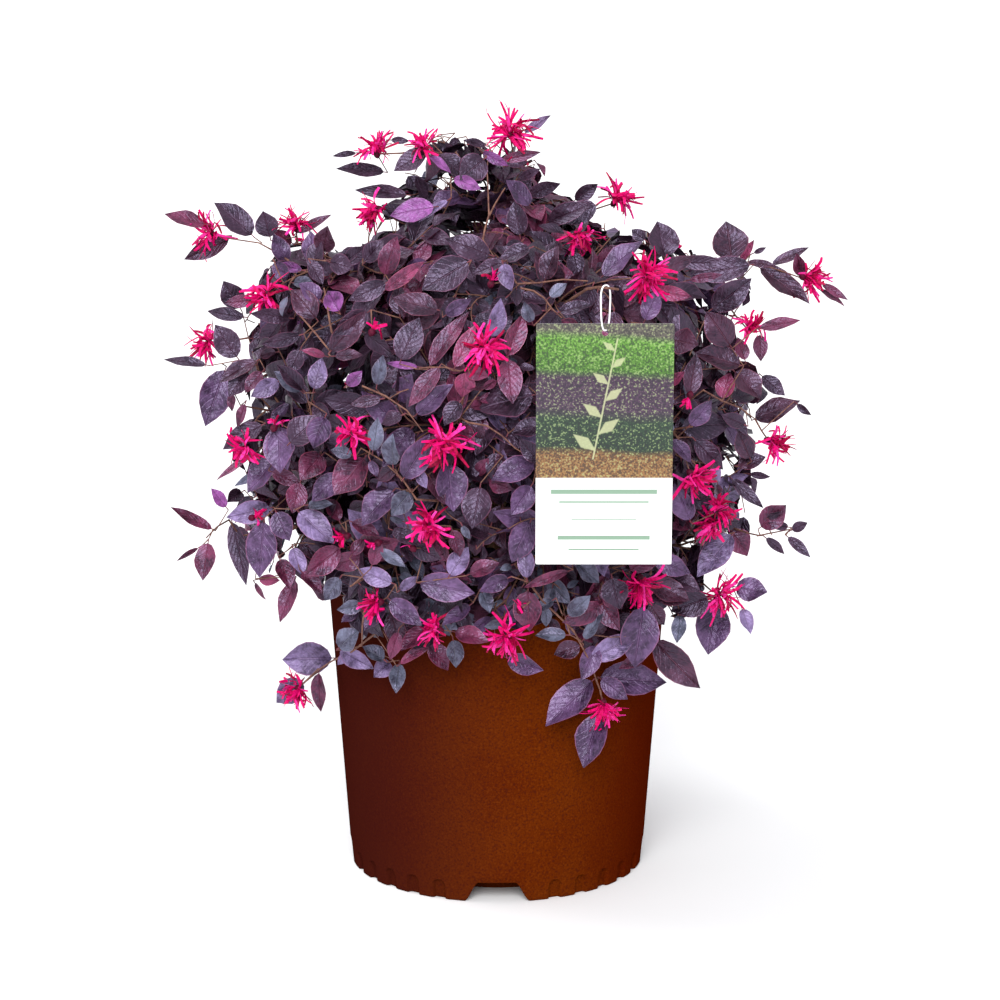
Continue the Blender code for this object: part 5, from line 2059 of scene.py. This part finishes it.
class Grower:
    """Grows shoots, twigs, leaves and blossoms on from the stems, by the solids' own rule."""

    leaf_length = 0.041
    leaf_shape = 0.58
    outer_shoots = 250
    middle_shoots = 150
    inner_shoots = 60
    back_blossoms = 28
    shoot_apart = 0.016
    thin_step = 10.0
    thin_sides = (0, 60, 90, 120, 180, 270)
    thin_columns = range(23, 78)
    thin_rows = range(12, 68)
    round_spread = 1.75
    fan_spread = 1.15
    petals = 48
    clear_bloom = 0.0135
    back_range = (95.0, 265.0)
    carry_reach = 0.004
    cut_step = 0.01
    least_share = 0.05
    beside_shoot = 80.0
    pot_room = 0.012
    pot_step = 0.004
    back_rim = 0.022
    bud_way = 0.006
    twig_way = 0.004
    rim_rise = 0.014
    root_gap = 0.0032
    heart = UP * 0.36
    side_room = 0.2

    def __init__(
        self, crown: CrownForm, masses: list[Mass], pot: Pot, tag: HangTag, view: PhotoView
    ) -> None:
        """Notes what the plant grows from and in.

        Args:
            crown: The crown's outer form.
            masses: The masses and their stems.
            pot: The pot.
            tag: The hang tag.
            view: The photo's viewing point.
        """
        self.crown = crown
        self.masses = masses
        self.tag = tag
        self.view = view
        self.rng = random.Random(SEED)
        self.space = Space(crown, pot, tag, view)
        self.leaves: dict[Tint, list[Leaf]] = {tint: [] for tint in Tint}
        self.shoots: list[Twig] = []
        self.side_twigs: list[Twig] = []
        self.stalks: list[Twig] = []
        self.blooms: list[Bloom] = []
        self.bearers: list[tuple[Path, Kind]] = []
        self.anchors: list[tuple[float, float, float]] = []
        self.outer_blooms: list[Vector] = []

    def grow(self) -> None:
        """Grows the whole crown, first what the photo shows plainly and then the rest round it."""
        for mass in self.masses:
            self.shoots.append(Twig(mass.stem, Gauge.STEM))
        carrier = next(mass for mass in self.masses if mass.name == "upper_1")
        start = along(carrier.stem, 0.45)[0]
        self.shoots.append(Twig(self.tag.twig(start), Gauge.TAG_TWIG, True))
        for spot, kind in self.plan():
            self.bear(spot, kind)
        self.show_photo_twigs()
        self.show_photo_leaves()
        self.show_photo_buds()
        for mass in self.masses:
            self.dress_twig(mass.stem, 0.05, 0.011, Tint.INNER_SHADE, 0.9, 0.004)
        for path, kind in self.bearers:
            self.dress_shoot(path, kind)
        for side in self.thin_sides:
            self.fill_thin_places(side)
        self.side_twigs = self.cut_back(self.side_twigs)
        self.shoots = self.cut_back(self.shoots)

    def cut_back(self, twigs: list[Twig]) -> list[Twig]:
        """Cuts bare tips back to the last thing that each twig carries.

        Args:
            twigs: The twigs.

        Returns:
            Those that carry something, shortened.
        """
        carried = [leaf.root for leaves in self.leaves.values() for leaf in leaves]
        carried += [bloom.centre for bloom in self.blooms]
        carried += [twig.path[0] for twig in self.side_twigs]
        tree = KDTree(len(carried))
        for k, spot in enumerate(carried):
            tree.insert(spot, k)
        tree.balance()
        kept = []
        for twig in twigs:
            share = 1.0
            while share > self.least_share and not twig.bare:
                if tree.find(along(twig.path, share)[0])[2] < self.carry_reach:
                    break
                share -= self.cut_step
            if share > self.least_share:
                path = [along(twig.path, share * k / 10)[0] for k in range(11)]
                kept.append(Twig(path, twig.gauge))
        return kept

    def plan(self) -> list[tuple[Vector, Kind]]:
        """Chooses the places that shoots grow to, and opens the blossoms there.

        Returns:
            Each place and what its shoot carries.
        """
        places = []
        for x, y, fan, size in PHOTO_BLOOMS:
            depth = self.view.on_crown(x, y, self.crown, 0.006)[0]
            spot = self.view.at(x, y, self.clear_depth(x, y, depth))
            self.front_bloom(spot, fan, size)
            places.append((spot, Kind.BLOSSOM))
        places += [(around(azimuth, reach, height), Kind.LONG) for azimuth, height, reach in LONG_SHOOTS]
        self.anchors = [self.view.pixel(spot) for spot, kind in places]
        outer = [place for place in places if not self.space.in_picture([place[0]])]
        self.outer_blooms = [spot for spot, kind in outer if kind is Kind.BLOSSOM]
        places = [place for place in places if place not in outer]
        for azimuth, height in self.crown.lattice(self.back_blossoms * 2):
            spot = self.crown.point(azimuth, height, 1.02)
            right = self.view.axes()[0]
            rim = [spot + way * self.back_rim for way in (UP, -UP, right, -right)]
            low, high = self.back_range
            if low < azimuth < high and self.space.in_picture(rim):
                self.back_bloom(spot)
                places.append((spot, Kind.BLOSSOM))
        taken = [spot for spot, kind in places]
        layers = (
            (self.outer_shoots, 0.0, 0.92, Kind.LEAFY),
            (self.middle_shoots, 70.0, 0.74, Kind.LEAFY),
            (self.inner_shoots, 30.0, 0.50, Kind.INNER),
        )
        for count, first, depth, kind in layers:
            for azimuth, height in self.crown.lattice(count, first):
                spot = self.crown.point(azimuth, height, depth * self.rng.uniform(0.96, 1.03))
                apart = min((spot - other).length for other in taken) > self.shoot_apart
                if apart and self.space.in_picture([spot]):
                    places.append((spot, kind))
        return places

    def front_bloom(self, spot: Vector, fan: float | None, size: float) -> None:
        """Opens a blossom that the photo shows.

        Args:
            spot: Its middle.
            fan: The way its petals spread in the picture, in degrees, or None for all round.
            size: Its size.
        """
        right, upward, forward = self.view.axes()
        outward = (spot - self.heart).normalized()
        axis = outward * 0.6 - forward * 0.7 + jitter(self.rng, 0.15)
        spread = self.round_spread
        if fan is not None:
            turn = math.radians(fan)
            axis = axis * 0.5 + right * math.cos(turn) + upward * math.sin(turn)
            spread = self.fan_spread
        self.blooms.append(Bloom(spot, axis.normalized(), size, spread, round(self.petals * size)))
        self.space.keep_seen(spot, -forward, self.clear_bloom * size)

    def back_bloom(self, spot: Vector) -> None:
        """Opens a blossom on the plant's far side."""
        outward = (spot - self.heart).normalized()
        axis = (outward + jitter(self.rng, 0.45)).normalized()
        size = self.rng.uniform(0.85, 1.15)
        spread = self.rng.choice((self.round_spread, self.fan_spread * 1.2))
        self.blooms.append(Bloom(spot, axis, size, spread, round(self.petals * size)))
        self.space.keep_seen(spot, outward, self.clear_bloom * size)

    def show_photo_buds(self) -> None:
        """Sets the closed buds that the photo shows, and some behind."""
        rng = self.rng
        right, upward, forward = self.view.axes()
        for x, y, size, turn in PHOTO_BUDS:
            depth = self.depth_at(x, y)
            spot = self.view.at(x, y, depth)
            angle = math.radians(turn)
            axis = right * math.cos(angle) + upward * math.sin(angle) - forward * 0.35
            self.bud(spot, axis, size)
            self.space.keep_seen(spot, -forward, self.bud_way)
        for path, kind in self.bearers[::7]:
            if kind is Kind.LEAFY and path[-1].y > 0.05:
                self.bud(path[-1], self.outward(path[-1]) + jitter(rng, 0.5), rng.uniform(0.5, 0.65))

    def bud(self, spot: Vector, axis: Vector, size: float) -> None:
        """Sets one closed bud, on a short stalk where no shoot ends there.

        Args:
            spot: Its place.
            axis: The way it points.
            size: Its size.
        """
        self.blooms.append(Bloom(spot, axis.normalized(), size, 0.42, 9))
        foot = self.bearing_point(spot)
        self.side_twigs.append(Twig([foot, foot.lerp(spot, 0.5), spot], Gauge.BUD_TWIG))

    def bear(self, spot: Vector, kind: Kind) -> None:
        """Grows one bare shoot to a place.

        Args:
            spot: Where the shoot ends.
            kind: What it will carry.
        """
        stem = min(self.masses, key=lambda mass: (spot - mass.centre).length).stem
        starts = []
        for share in (0.15, 0.3, 0.45, 0.6, 0.75, 0.9):
            foot, heading = along(stem, share)
            starts.append((abs((spot - foot).normalized().dot(heading) - 0.62), share))
        foot, heading = along(stem, min(starts)[1])
        reach = (spot - foot).length
        rim = self.space.pot.height + self.rim_rise
        if spot.z < rim:
            flat = Vector((spot.x, spot.y, 0.0)).normalized()
            over = flat * (self.space.pot.wall_radius(rim) + 0.010) + UP * rim
            path = bent(foot, foot + heading * reach * 0.3 + UP * 0.02, over, 6)
            path += bent(over, over + flat * 0.016 - UP * 0.006, spot, 5)[1:]
        else:
            control = foot + heading * reach * 0.40 + UP * (0.10 * reach)
            path = bent(foot, control, spot, 9)
        for k in range(2, 8):
            path[k] = path[k] + jitter(self.rng, 0.0007)
        self.shoots.append(Twig(path, Gauge.SHOOT))
        self.bearers.append((path, kind))

    def depth_at(self, x: float, y: float) -> float:
        """Finds how far off a thing in the photo is: on the crown, or level with a shoot beside it.

        Args:
            x: Pixel from the left.
            y: Pixel from the top.

        Returns:
            The depth.
        """
        depth, missed = self.view.on_crown(x, y, self.crown, 0.004)
        nearest = min(self.anchors, key=lambda anchor: math.hypot(anchor[0] - x, anchor[1] - y))
        near = math.hypot(nearest[0] - x, nearest[1] - y) < self.beside_shoot
        return self.clear_depth(x, y, nearest[2] if missed > 0.004 and near else depth)

    def clear_depth(self, x: float, y: float, depth: float) -> float:
        """Brings a depth forward until it is in front of the pot.

        Args:
            x: Pixel from the left.
            y: Pixel from the top.
            depth: The wished depth.

        Returns:
            The depth.
        """
        while not self.space.pot.clear(self.view.at(x, y, depth), self.pot_room):
            depth -= self.pot_step
        return depth

    def bearing_point(self, spot: Vector) -> Vector:
        """The nearest place on a shoot or twig that something can grow from."""
        places = []
        for twig in self.shoots + self.side_twigs:
            places += twig.path[1:]
        away = np.linalg.norm(rows_of(places) - np.array(tuple(spot)), axis=1)
        return places[int(np.argmin(np.where(away < 0.004, 1.0, away)))]

    def show_photo_twigs(self) -> None:
        """Grows the bare twigs that the photo shows, and those of the outermost blossoms."""
        towards = -self.view.axes()[2]
        for pixels in PHOTO_TWIGS:
            path = [self.view.at(x, y, self.depth_at(x, y)) for x, y in pixels]
            foot = self.bearing_point(path[0])
            path = [foot, foot.lerp(path[0], 0.5), *path]
            self.side_twigs.append(Twig(path, Gauge.PHOTO_TWIG, True))
            for spot in path[2:]:
                self.space.keep_seen(spot, towards, self.twig_way)
        for spot in self.outer_blooms:
            foot = self.bearing_point(spot)
            path = [foot, foot.lerp(spot, 0.5) - UP * 0.001, spot]
            self.side_twigs.append(Twig(path, Gauge.BLOOM_TWIG))

    def show_photo_leaves(self) -> None:
        """Grows the leaves that catch the eye in the photo, each on a fine twig."""
        rng = self.rng
        towards = -self.view.axes()[2]
        rows = [(*row, tint) for tint, leaves in PHOTO_LEAVES.items() for row in leaves]
        for x0, y0, x1, y1, wide, tint in rows:
            depth = self.depth_at((x0 + x1) / 2, (y0 + y1) / 2) + rng.uniform(-0.003, 0.003)
            base = self.view.at(x0, y0, depth)
            tip = self.view.at(x1, y1, depth + rng.uniform(-0.010, 0.004))
            run = (tip - base).normalized()
            face = towards + UP * 0.20 + jitter(rng, 0.34)
            root = base - run * self.root_gap
            leaf = self.leaf_at(root, run, face, (tip - base).length * 1.05)
            leaf.width = wide * depth / self.view.focal * 1.14
            leaf.fold = rng.uniform(0.12, 0.50)
            leaf.curl = rng.uniform(-0.03, 0.10)
            leaf.sway *= 0.4
            self.leaves[tint].append(leaf)
            stalk = base - run * 0.0030
            foot = self.bearing_point(stalk)
            middle = foot.lerp(stalk, 0.6) + towards * -0.002
            self.side_twigs.append(Twig([foot, middle, stalk], Gauge.LEAF_TWIG))
            stem = [stalk, stalk + run * 0.002, stalk + run * 0.004]
            self.stalks.append(Twig(stem, Gauge.STALK))
            for share in (0.3, 0.65):
                self.space.keep_seen(base.lerp(tip, share), towards, leaf.width * 0.36)

    def pick_tint(self, spot: Vector, kind: Kind) -> Tint:
        """Chooses a spray's tint: browner at the top, bluer and greyer low down, and the painted-shade
        tint inside and at random.

        Args:
            spot: Where the spray ends.
            kind: What the shoot carries.

        Returns:
            The tint.
        """
        if kind is Kind.INNER:
            return Tint.INNER_SHADE
        share = (spot.z - self.crown.foot) / (self.crown.top - self.crown.foot)
        share = max(0.0, min(1.0, share))
        weights = {
            Tint.DARK: 0.24 + 0.22 * share,
            Tint.BROWN: 0.20 + 0.12 * share,
            Tint.VIOLET: 0.19 - 0.11 * share,
            Tint.MAUVE: 0.05 - 0.04 * share,
            Tint.BURGUNDY: 0.025,
            Tint.WINE: 0.14,
            Tint.SLATE: 0.07 * (1.0 - share),
            Tint.YOUNG: 0.008,
            Tint.INNER_SHADE: 0.24,
        }
        return self.rng.choices(list(weights), list(weights.values()))[0]

    def dress_shoot(self, path: Path, kind: Kind) -> None:
        """Gives a shoot its side twigs and leaves.

        Args:
            path: The shoot's path.
            kind: What it carries.
        """
        rng = self.rng
        spot = path[-1]
        tint = self.pick_tint(spot, kind)
        slack = 0.003
        if kind in (Kind.BLOSSOM, Kind.LONG):
            low = max(0.0, self.crown.foot - spot.z)
            slack = max(slack, self.crown.beyond(spot) + 0.012, low + 0.020)
        size = rng.uniform(0.80, 1.16) * (0.62 if tint is Tint.SLATE else 1.0)
        size *= 0.78 if tint is Tint.YOUNG else 1.0
        leafy = {Kind.LEAFY: 0.080, Kind.INNER: 0.060, Kind.BLOSSOM: 0.075, Kind.LONG: 0.100}[kind]
        self.dress_twig(path, leafy, 0.0115, tint, size, slack)
        side_count = {Kind.LEAFY: 2, Kind.INNER: 1, Kind.BLOSSOM: 2, Kind.LONG: 1}[kind]
        reach = length_of(path)
        for k in range(side_count):
            back = 0.024 + 0.022 * k + rng.uniform(-0.004, 0.004)
            if back < 0.85 * reach:
                self.side_twig(path, 1.0 - back / reach, tint, kind, slack, size, 1 if k % 2 else -1)

    def side_twig(
        self, bearer: Path, share: float, tint: Tint, kind: Kind, slack: float, size: float, side: int
    ) -> None:
        """Grows a finer twig from a shoot.

        Args:
            bearer: The shoot's path.
            share: Where it leaves the shoot.
            tint: The shoot's tint.
            kind: What the shoot carries.
            slack: How far leaves may stand out of the crown.
            size: Size of the leaves.
            side: Side of the shoot, -1 or 1.
        """
        rng = self.rng
        foot, heading = along(bearer, share)
        outward = self.outward(foot)
        across = heading.cross(outward)
        if across.length < self.side_room:
            across = heading.orthogonal()
        away = heading * 0.55 + across.normalized() * (0.8 * side) + outward * 0.25 + jitter(rng, 0.25)
        away.normalize()
        reach = rng.uniform(0.026, 0.048)
        end = foot + away * reach
        if self.crown.beyond(end) > slack or self.tag.covers(end) or not self.space.pot.clear(end, 0.004):
            return
        if not self.space.in_picture([end]):
            return
        bend = foot + heading * reach * 0.35 + away * reach * 0.25
        path = bent(foot, bend, end, 5)
        self.side_twigs.append(Twig(path, Gauge.SIDE_TWIG))
        if rng.random() < 0.4:
            tint = self.pick_tint(end, kind)
        self.dress_twig(path, reach * 0.85, 0.0095, tint, size * 0.88, slack)

    def outward(self, spot: Vector) -> Vector:
        """The way out of the crown from a place, held down so that top leaves turn outwards too."""
        return Vector((spot.x, spot.y, (spot.z - 0.33) * 0.55)).normalized()

    def dress_twig(
        self, path: Path, leafy: float, step: float, tint: Tint, size: float, slack: float
    ) -> None:
        """Puts alternate leaves on a twig, from its tip back.

        Args:
            path: The twig's path.
            leafy: Length of the twig that carries leaves.
            step: Distance from leaf to leaf.
            tint: The leaves' tint.
            size: Size of the leaves.
            slack: How far they may stand out of the crown.
        """
        rng = self.rng
        total = length_of(path)
        back = 0.0005
        side = rng.choice((-1, 1))
        while back < min(leafy, total * 0.92):
            side = -side
            root, heading = along(path, 1.0 - back / total)
            outward = self.outward(root)
            across = heading.cross(outward)
            if across.length < self.side_room:
                across = heading.orthogonal()
            across.normalize()
            end_leaf = back < 0.001
            grown = min(1.0, 0.70 + back * 9.0)
            for attempt in range(5):
                wild = attempt / 5
                lean = (0.2 if end_leaf else 0.95) * side * (1.0 - 0.4 * wild)
                run = heading * (0.60 - 0.4 * wild) + across * lean
                run += UP * -0.18 + jitter(rng, 0.42 + 0.7 * wild)
                face = outward + UP * 0.34 + jitter(rng, 0.72)
                length = self.leaf_length * size * grown * rng.uniform(0.52, 1.18)
                leaf = self.leaf_at(root, run, face, length)
                if self.space.free(leaf, slack):
                    self.leaves[tint].append(leaf)
                    end = leaf.root + leaf.along * 0.0008
                    self.stalks.append(Twig([root, root.lerp(end, 0.5), end], Gauge.STALK))
                    break
            back += step * rng.uniform(0.8, 1.2)

    def fill_thin_places(self, side: float) -> None:
        """Grows inner leaves where the crown is open from one side though the photo shows no sky.

        Args:
            side: Azimuth of that side, in degrees.
        """
        rng = self.rng
        back = Matrix.Rotation(math.radians(side), 3, "Z")
        turn = back.transposed()
        forward = back @ self.view.axes()[2]
        step = self.thin_step
        covered = set()
        for leaves in self.leaves.values():
            for leaf in leaves:
                # Dresses a piece, hangs it under the plant's body, hides the imported nodes that it
                # stands for and logs it.
                for spot in leaf.marks():
                    x, y = self.view.pixel(turn @ spot)[:2]
                    covered.add((int(x // step), int(y // step)))
        cells = ((column, row) for column in self.thin_columns for row in self.thin_rows)
        for column, row in cells:
            if (column, row) in covered:
                continue
            x, y = (column + 0.5) * step, (row + 0.3) * step
            surface, missed = self.view.on_crown(x, y, self.crown, 0.0)
            if side != 0 and missed > 0.0:
                continue
            for attempt in range(1 if side == 0 else 4):
                root = back @ self.view.at(x, y, surface + rng.uniform(0.030, 0.070) + 0.03 * attempt)
                run = jitter(rng, 0.9) - UP
                run -= forward * run.dot(forward)
                leaf = self.leaf_at(root, run, jitter(rng, 0.5) - forward, rng.uniform(0.022, 0.034))
                marks = leaf.marks()
                within = side == 0 or max(self.crown.beyond(spot) for spot in marks) < 0.0
                pot, margin = self.space.pot, self.space.pot_margin
                within = within and all(pot.clear(spot, margin) for spot in marks)
                if within and self.space.in_picture(marks) and not self.space.in_the_way(marks):
                    self.leaves[rng.choice((Tint.INNER_SHADE, Tint.DARK, Tint.BROWN))].append(leaf)
                    foot = self.bearing_point(root)
                    path = [foot, foot.lerp(root, 0.5), root]
                    self.side_twigs.append(Twig(path, Gauge.LEAF_TWIG))
                    break

    def leaf_at(self, root: Vector, run: Vector, face: Vector, length: float) -> Leaf:
        """Forms one leaf on its stalk.

        Args:
            root: Where the stalk leaves the twig.
            run: The way the leaf points.
            face: The way its upper side faces.
            length: Its length.

        Returns:
            The leaf.
        """
        rng = self.rng
        along_leaf = run.normalized()
        facing = (face - along_leaf * face.dot(along_leaf)).normalized()
        across = facing.cross(along_leaf)
        return Leaf(
            root + along_leaf * self.root_gap, along_leaf, across, facing, length,
            length * self.leaf_shape * rng.uniform(0.88, 1.10),
            rng.uniform(0.12, 0.60), rng.uniform(-0.05, 0.24), rng.uniform(0.0, math.tau),
            rng.uniform(-0.10, 0.10), rng.uniform(-0.45, 0.45),
        )


@dataclass
class Twigs:
    """The shoots, side twigs and leaf stalks as joined tubes."""

    def build(self, name: str, twigs: list[Twig], rings: int, sides: int) -> bpy.types.Object:
        """Joins many twigs into one piece.

        Args:
            name: The piece's name.
            twigs: Their paths and radii.
            rings: Rings along each.
            sides: Corners in a ring.

        Returns:
            The twigs.
        """
        shares = [k / (rings - 1) for k in range(rings)]
        paths = np.array([[tuple(along(twig.path, share)[0]) for share in shares] for twig in twigs])
        gauges = [twig.gauge.value for twig in twigs]
        radii = np.array([[foot + (tip - foot) * share for share in shares] for foot, tip in gauges])
        across = unit_rows(rows_of((twig.path[-1] - twig.path[0]).orthogonal() for twig in twigs))
        points = tube_points(paths, radii, across, sides)
        return joined(name, points, UnitShape(tube_faces(rings, sides)))


@dataclass
class Blossoms:
    """Clusters of narrow strap petals round small dark cups."""

    petal_length: float = 0.0182
    petal_width: float = 0.0023
    rings: int = 7
    sides: int = 4
    flatness: float = 0.28
    widths: Numbers = (0.50, 0.78, 0.94, 1.0, 1.0, 0.97, 0.72)
    petals_each: float = 6.0
    head_reach: float = 0.0022
    foot_reach: float = 0.0006
    cup_shares: Numbers = (-1.0, -0.6, 0.0, 0.5, 0.8)
    cup_radii: Numbers = (0.0007, 0.0022, 0.0030, 0.0024, 0.0010)
    cup_half: float = 0.0035
    cup_sides: int = 7
    # Besides the bright petals, paler and darker copies are dealt out at random: painted highlight and
    # painted shade.
    shades: tuple[tuple[str, float], ...] = (
        ("petals_bright", 0.58), ("petals_light", 0.80), ("petals_deep", 1.0),
    )

    def petal_paths(self, bloom: Bloom, rng: random.Random) -> list[tuple[Path, Vector]]:
        """Draws one cluster's petals.

        Args:
            bloom: The cluster.
            rng: The seeded source of chance.

        Returns:
            Each petal's middle line and the way its broad side lies.
        """
        first = bloom.axis.orthogonal().normalized()
        second = bloom.axis.cross(first)
        heads = []
        flowers = max(2, round(bloom.count / self.petals_each))
        for k in range(flowers):
            lean = bloom.spread * ((k + 0.6) / flowers) ** 0.7 * rng.uniform(0.75, 1.10)
            turn = k * math.radians(GOLDEN_ANGLE) + rng.uniform(-0.4, 0.4)
            aside = first * math.cos(turn) + second * math.sin(turn)
            heads.append(bloom.axis * math.cos(lean) + aside * math.sin(lean))
        petals = []
        for k in range(bloom.count):
            head = heads[k % flowers]
            way = (head + jitter(rng, 0.42)).normalized()
            length = self.petal_length * bloom.size * rng.uniform(0.55, 1.05)
            droop = -UP * rng.uniform(0.00, 0.45) + jitter(rng, 0.50)
            curl = (bloom.axis - way * 0.3) * rng.uniform(-0.60, 0.30) + jitter(rng, 0.60)
            length /= max(1.0, (way + droop + curl).length)
            middle = bloom.centre + head * self.head_reach + way * self.foot_reach
            path = []
            for ring in range(self.rings):
                run = ring / (self.rings - 1)
                path.append(middle + (way * run + droop * run ** 2 + curl * run ** 3) * length)
            petals.append((path, way.cross(bloom.axis + jitter(rng, 0.5)).normalized()))
        return petals

    def petals(self, blooms: list[Bloom], rng: random.Random) -> dict[str, np.ndarray]:
        """Places every petal and deals it a shade.

        Args:
            blooms: The blossoms.
            rng: The seeded source of chance.

        Returns:
            Corner places for each shade.
        """
        rows: dict[str, list] = {shade: [] for shade, limit in self.shades}
        for bloom in blooms:
            for path, broad in self.petal_paths(bloom, rng):
                chance = rng.random()
                shade = next(name for name, limit in self.shades if chance < limit)
                rows[shade].append((path, broad, rng.uniform(-1.1, 1.1), rng.uniform(0.80, 1.15)))
        placed = {}
        for shade, petals in rows.items():
            paths = np.array([rows_of(petal[0]) for petal in petals])
            across = rows_of(petal[1] for petal in petals)
            twist = np.array([petal[2] for petal in petals])
            sizes = np.array([petal[3] for petal in petals]) * self.petal_width / 2
            radii = np.array(self.widths)[None, :] * sizes[:, None]
            placed[shade] = tube_points(paths, radii, across, self.sides, self.flatness, twist)
        return placed

    def cups(self, blooms: list[Bloom]) -> np.ndarray:
        """Places the small cups that the petals stand in.

        Args:
            blooms: The blossoms.

        Returns:
            Corner places.
        """
        radii = np.array([self.cup_radii] * len(blooms))
        heights = [self.cup_half * share for share in self.cup_shares]
        paths = np.array([rows_of(b.centre + b.axis * height for height in heights) for b in blooms])
        across = rows_of(bloom.axis.orthogonal().normalized() for bloom in blooms)
        return tube_points(paths, radii, across, self.cup_sides)

    def build(self, blooms: list[Bloom], rng: random.Random, nodes: list[str]) -> None:
        """Builds and dresses all the blossoms.

        Args:
            blooms: The blossoms.
            rng: The seeded source of chance.
            nodes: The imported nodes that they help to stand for.
        """
        # The paler and darker petal finishes are painted highlight and painted shade.
        finishes = {
            "petals_bright": PetalFinish("petal_bright", srgb(214, 6, 106), srgb(176, 1, 70)),
            "petals_light": PetalFinish("petal_painted_highlight", srgb(234, 56, 156), srgb(212, 16, 112)),
            "petals_deep": PetalFinish("petal_painted_shade", srgb(162, 2, 62), srgb(118, 1, 42)),
        }
        faces = UnitShape(tube_faces(self.rings, self.sides))
        for shade, points in self.petals(blooms, rng).items():
            piece = joined(shade, points, faces)
            report(piece, [finishes[shade].material()], nodes)
        cup = PetalFinish("cup_skin", srgb(84, 12, 40), srgb(54, 9, 27))
        faces = UnitShape(tube_faces(len(self.cup_shares), self.cup_sides))
        piece = joined("blossom_cups", self.cups(blooms), faces)
        report(piece, [cup.material()], nodes)


@dataclass
class Foliage:
    """All that grows: twigs, stalks, leaves by tint, and blossoms."""

    grower: Grower
    blade: LeafBlade = field(default_factory=LeafBlade)

    def build(self, nodes: list[str]) -> None:
        """Builds and dresses every piece of the crown.

        Args:
            nodes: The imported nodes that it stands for.
        """
        twigs = Twigs()
        young = BarkFinish("young_bark", srgb(124, 88, 74), srgb(82, 52, 46), 160.0, 0.0004)
        fine = BarkFinish("fine_bark", srgb(130, 92, 78), srgb(84, 52, 50), 160.0, 0.0003)
        stalk = BarkFinish("stalk_skin", srgb(120, 62, 70), srgb(82, 42, 52), 200.0, 0.0002)
        for name, items, rings, sides, finish in (
            ("main_shoots", self.grower.shoots, 11, 6, young),
            ("side_twigs", self.grower.side_twigs, 5, 5, fine),
            ("leaf_stalks", self.grower.stalks, 3, 3, stalk),
        ):
            piece = twigs.build(name, items, rings, sides)
            report(piece, [finish.material()], nodes)
        for tint, tones in LEAF_TONES.items():
            leaves = self.grower.leaves[tint]
            finish = LeafFinish(tint.value, *(srgb(*tone) for tone in tones))
            piece = self.blade.build("leaves_" + tint.value, leaves)
            log.info("%s: %d leaves", tint.value, len(leaves))
            report(piece, [finish.upper_side(), finish.under_side()], nodes)
        Blossoms().build(self.grower.blooms, random.Random(SEED + 1), nodes)


# Studio


@dataclass
class Studio:
    """The plain floor, soft lights and the camera at the photo's viewing angle."""

    view: PhotoView
    sensor: float = 36.0
    floor_size: float = 60.0
    ambient: float = 0.80
    air_tone: Colour = (0.95, 0.96, 1.0)
    front_power: float = 3.3
    front_place: tuple[float, float, float] = (-0.14, -2.0, 1.3)
    front_softness: float = 36.0
    left_power: float = 1.2
    left_place: tuple[float, float, float] = (-1.6, 0.30, 2.6)
    left_softness: float = 28.0

    def build(self) -> None:
        """Lays the floor, hangs the lights and sets the camera."""
        bpy.ops.object.select_all(action="DESELECT")
        bpy.ops.mesh.primitive_plane_add(size=self.floor_size, location=(0.0, 0.0, 0.0))
        floor = bpy.context.object
        floor.name = "studio_floor"
        floor.data.materials.append(FloorFinish().material())
        self.far_light("front_light", self.front_place, self.front_power, self.front_softness)
        self.far_light("left_light", self.left_place, self.left_power, self.left_softness)
        world = bpy.data.worlds.new("studio_air")
        world.use_nodes = True
        air = world.node_tree.nodes["Background"]
        air.inputs["Color"].default_value = (*self.air_tone, 1.0)
        air.inputs["Strength"].default_value = self.ambient
        bpy.context.scene.world = world
        bpy.context.scene.view_settings.view_transform = "Standard"
        self.camera()

    def far_light(
        self, name: str, spot: tuple[float, float, float], power: float, softness: float
    ) -> None:
        """Hangs one wide, far-off light.

        Args:
            name: The light's name.
            spot: A place that it shines from.
            power: Its power.
            softness: How wide it looks from the plant, in degrees.
        """
        turn = (-Vector(spot)).to_track_quat("-Z", "Y").to_euler()
        bpy.ops.object.light_add(type="SUN", location=spot, rotation=turn)
        lamp = bpy.context.object
        lamp.name = name
        lamp.data.energy = power
        lamp.data.angle = math.radians(softness)

    def camera(self) -> None:
        """Sets the camera where the photo was taken from."""
        view = self.view
        tilt = math.radians(90.0 - view.pitch)
        bpy.ops.object.camera_add(location=view.eye, rotation=(tilt, 0.0, 0.0))
        eye = bpy.context.object
        eye.name = "photo_camera"
        eye.data.sensor_width = self.sensor
        eye.data.lens = view.focal / view.frame * self.sensor
        eye.data.shift_x = 0.5 - view.centre[0] / view.frame
        eye.data.shift_y = view.centre[1] / view.frame - 0.5
        bpy.context.scene.camera = eye


def main() -> None:
    """Builds the plant, its pot and the studio."""
    logging.basicConfig(level=logging.INFO, format="%(message)s")
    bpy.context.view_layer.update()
    view = PhotoView()
    Studio(view).build()

    pot = Pot()
    pot.dress(pot.build())
    mix = PottingMix(pot)
    mix.dress(mix.build(random.Random(SEED + 2)), mix.chips(random.Random(SEED + 3)))

    tag = HangTag(*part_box("hang_tag"), *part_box("tag_loop"))
    tag.dress(tag.loop())

    skeleton = Skeleton()
    masses = skeleton.masses()
    wood = Wood(skeleton)
    wood.dress(wood.trunk(), wood.boughs(masses), masses)

    grower = Grower(CrownForm(), masses, pot, tag, view)
    grower.grow()
    Foliage(grower).build(["foliage_" + mass.name for mass in masses])


if __name__ == "__main__":
    main()
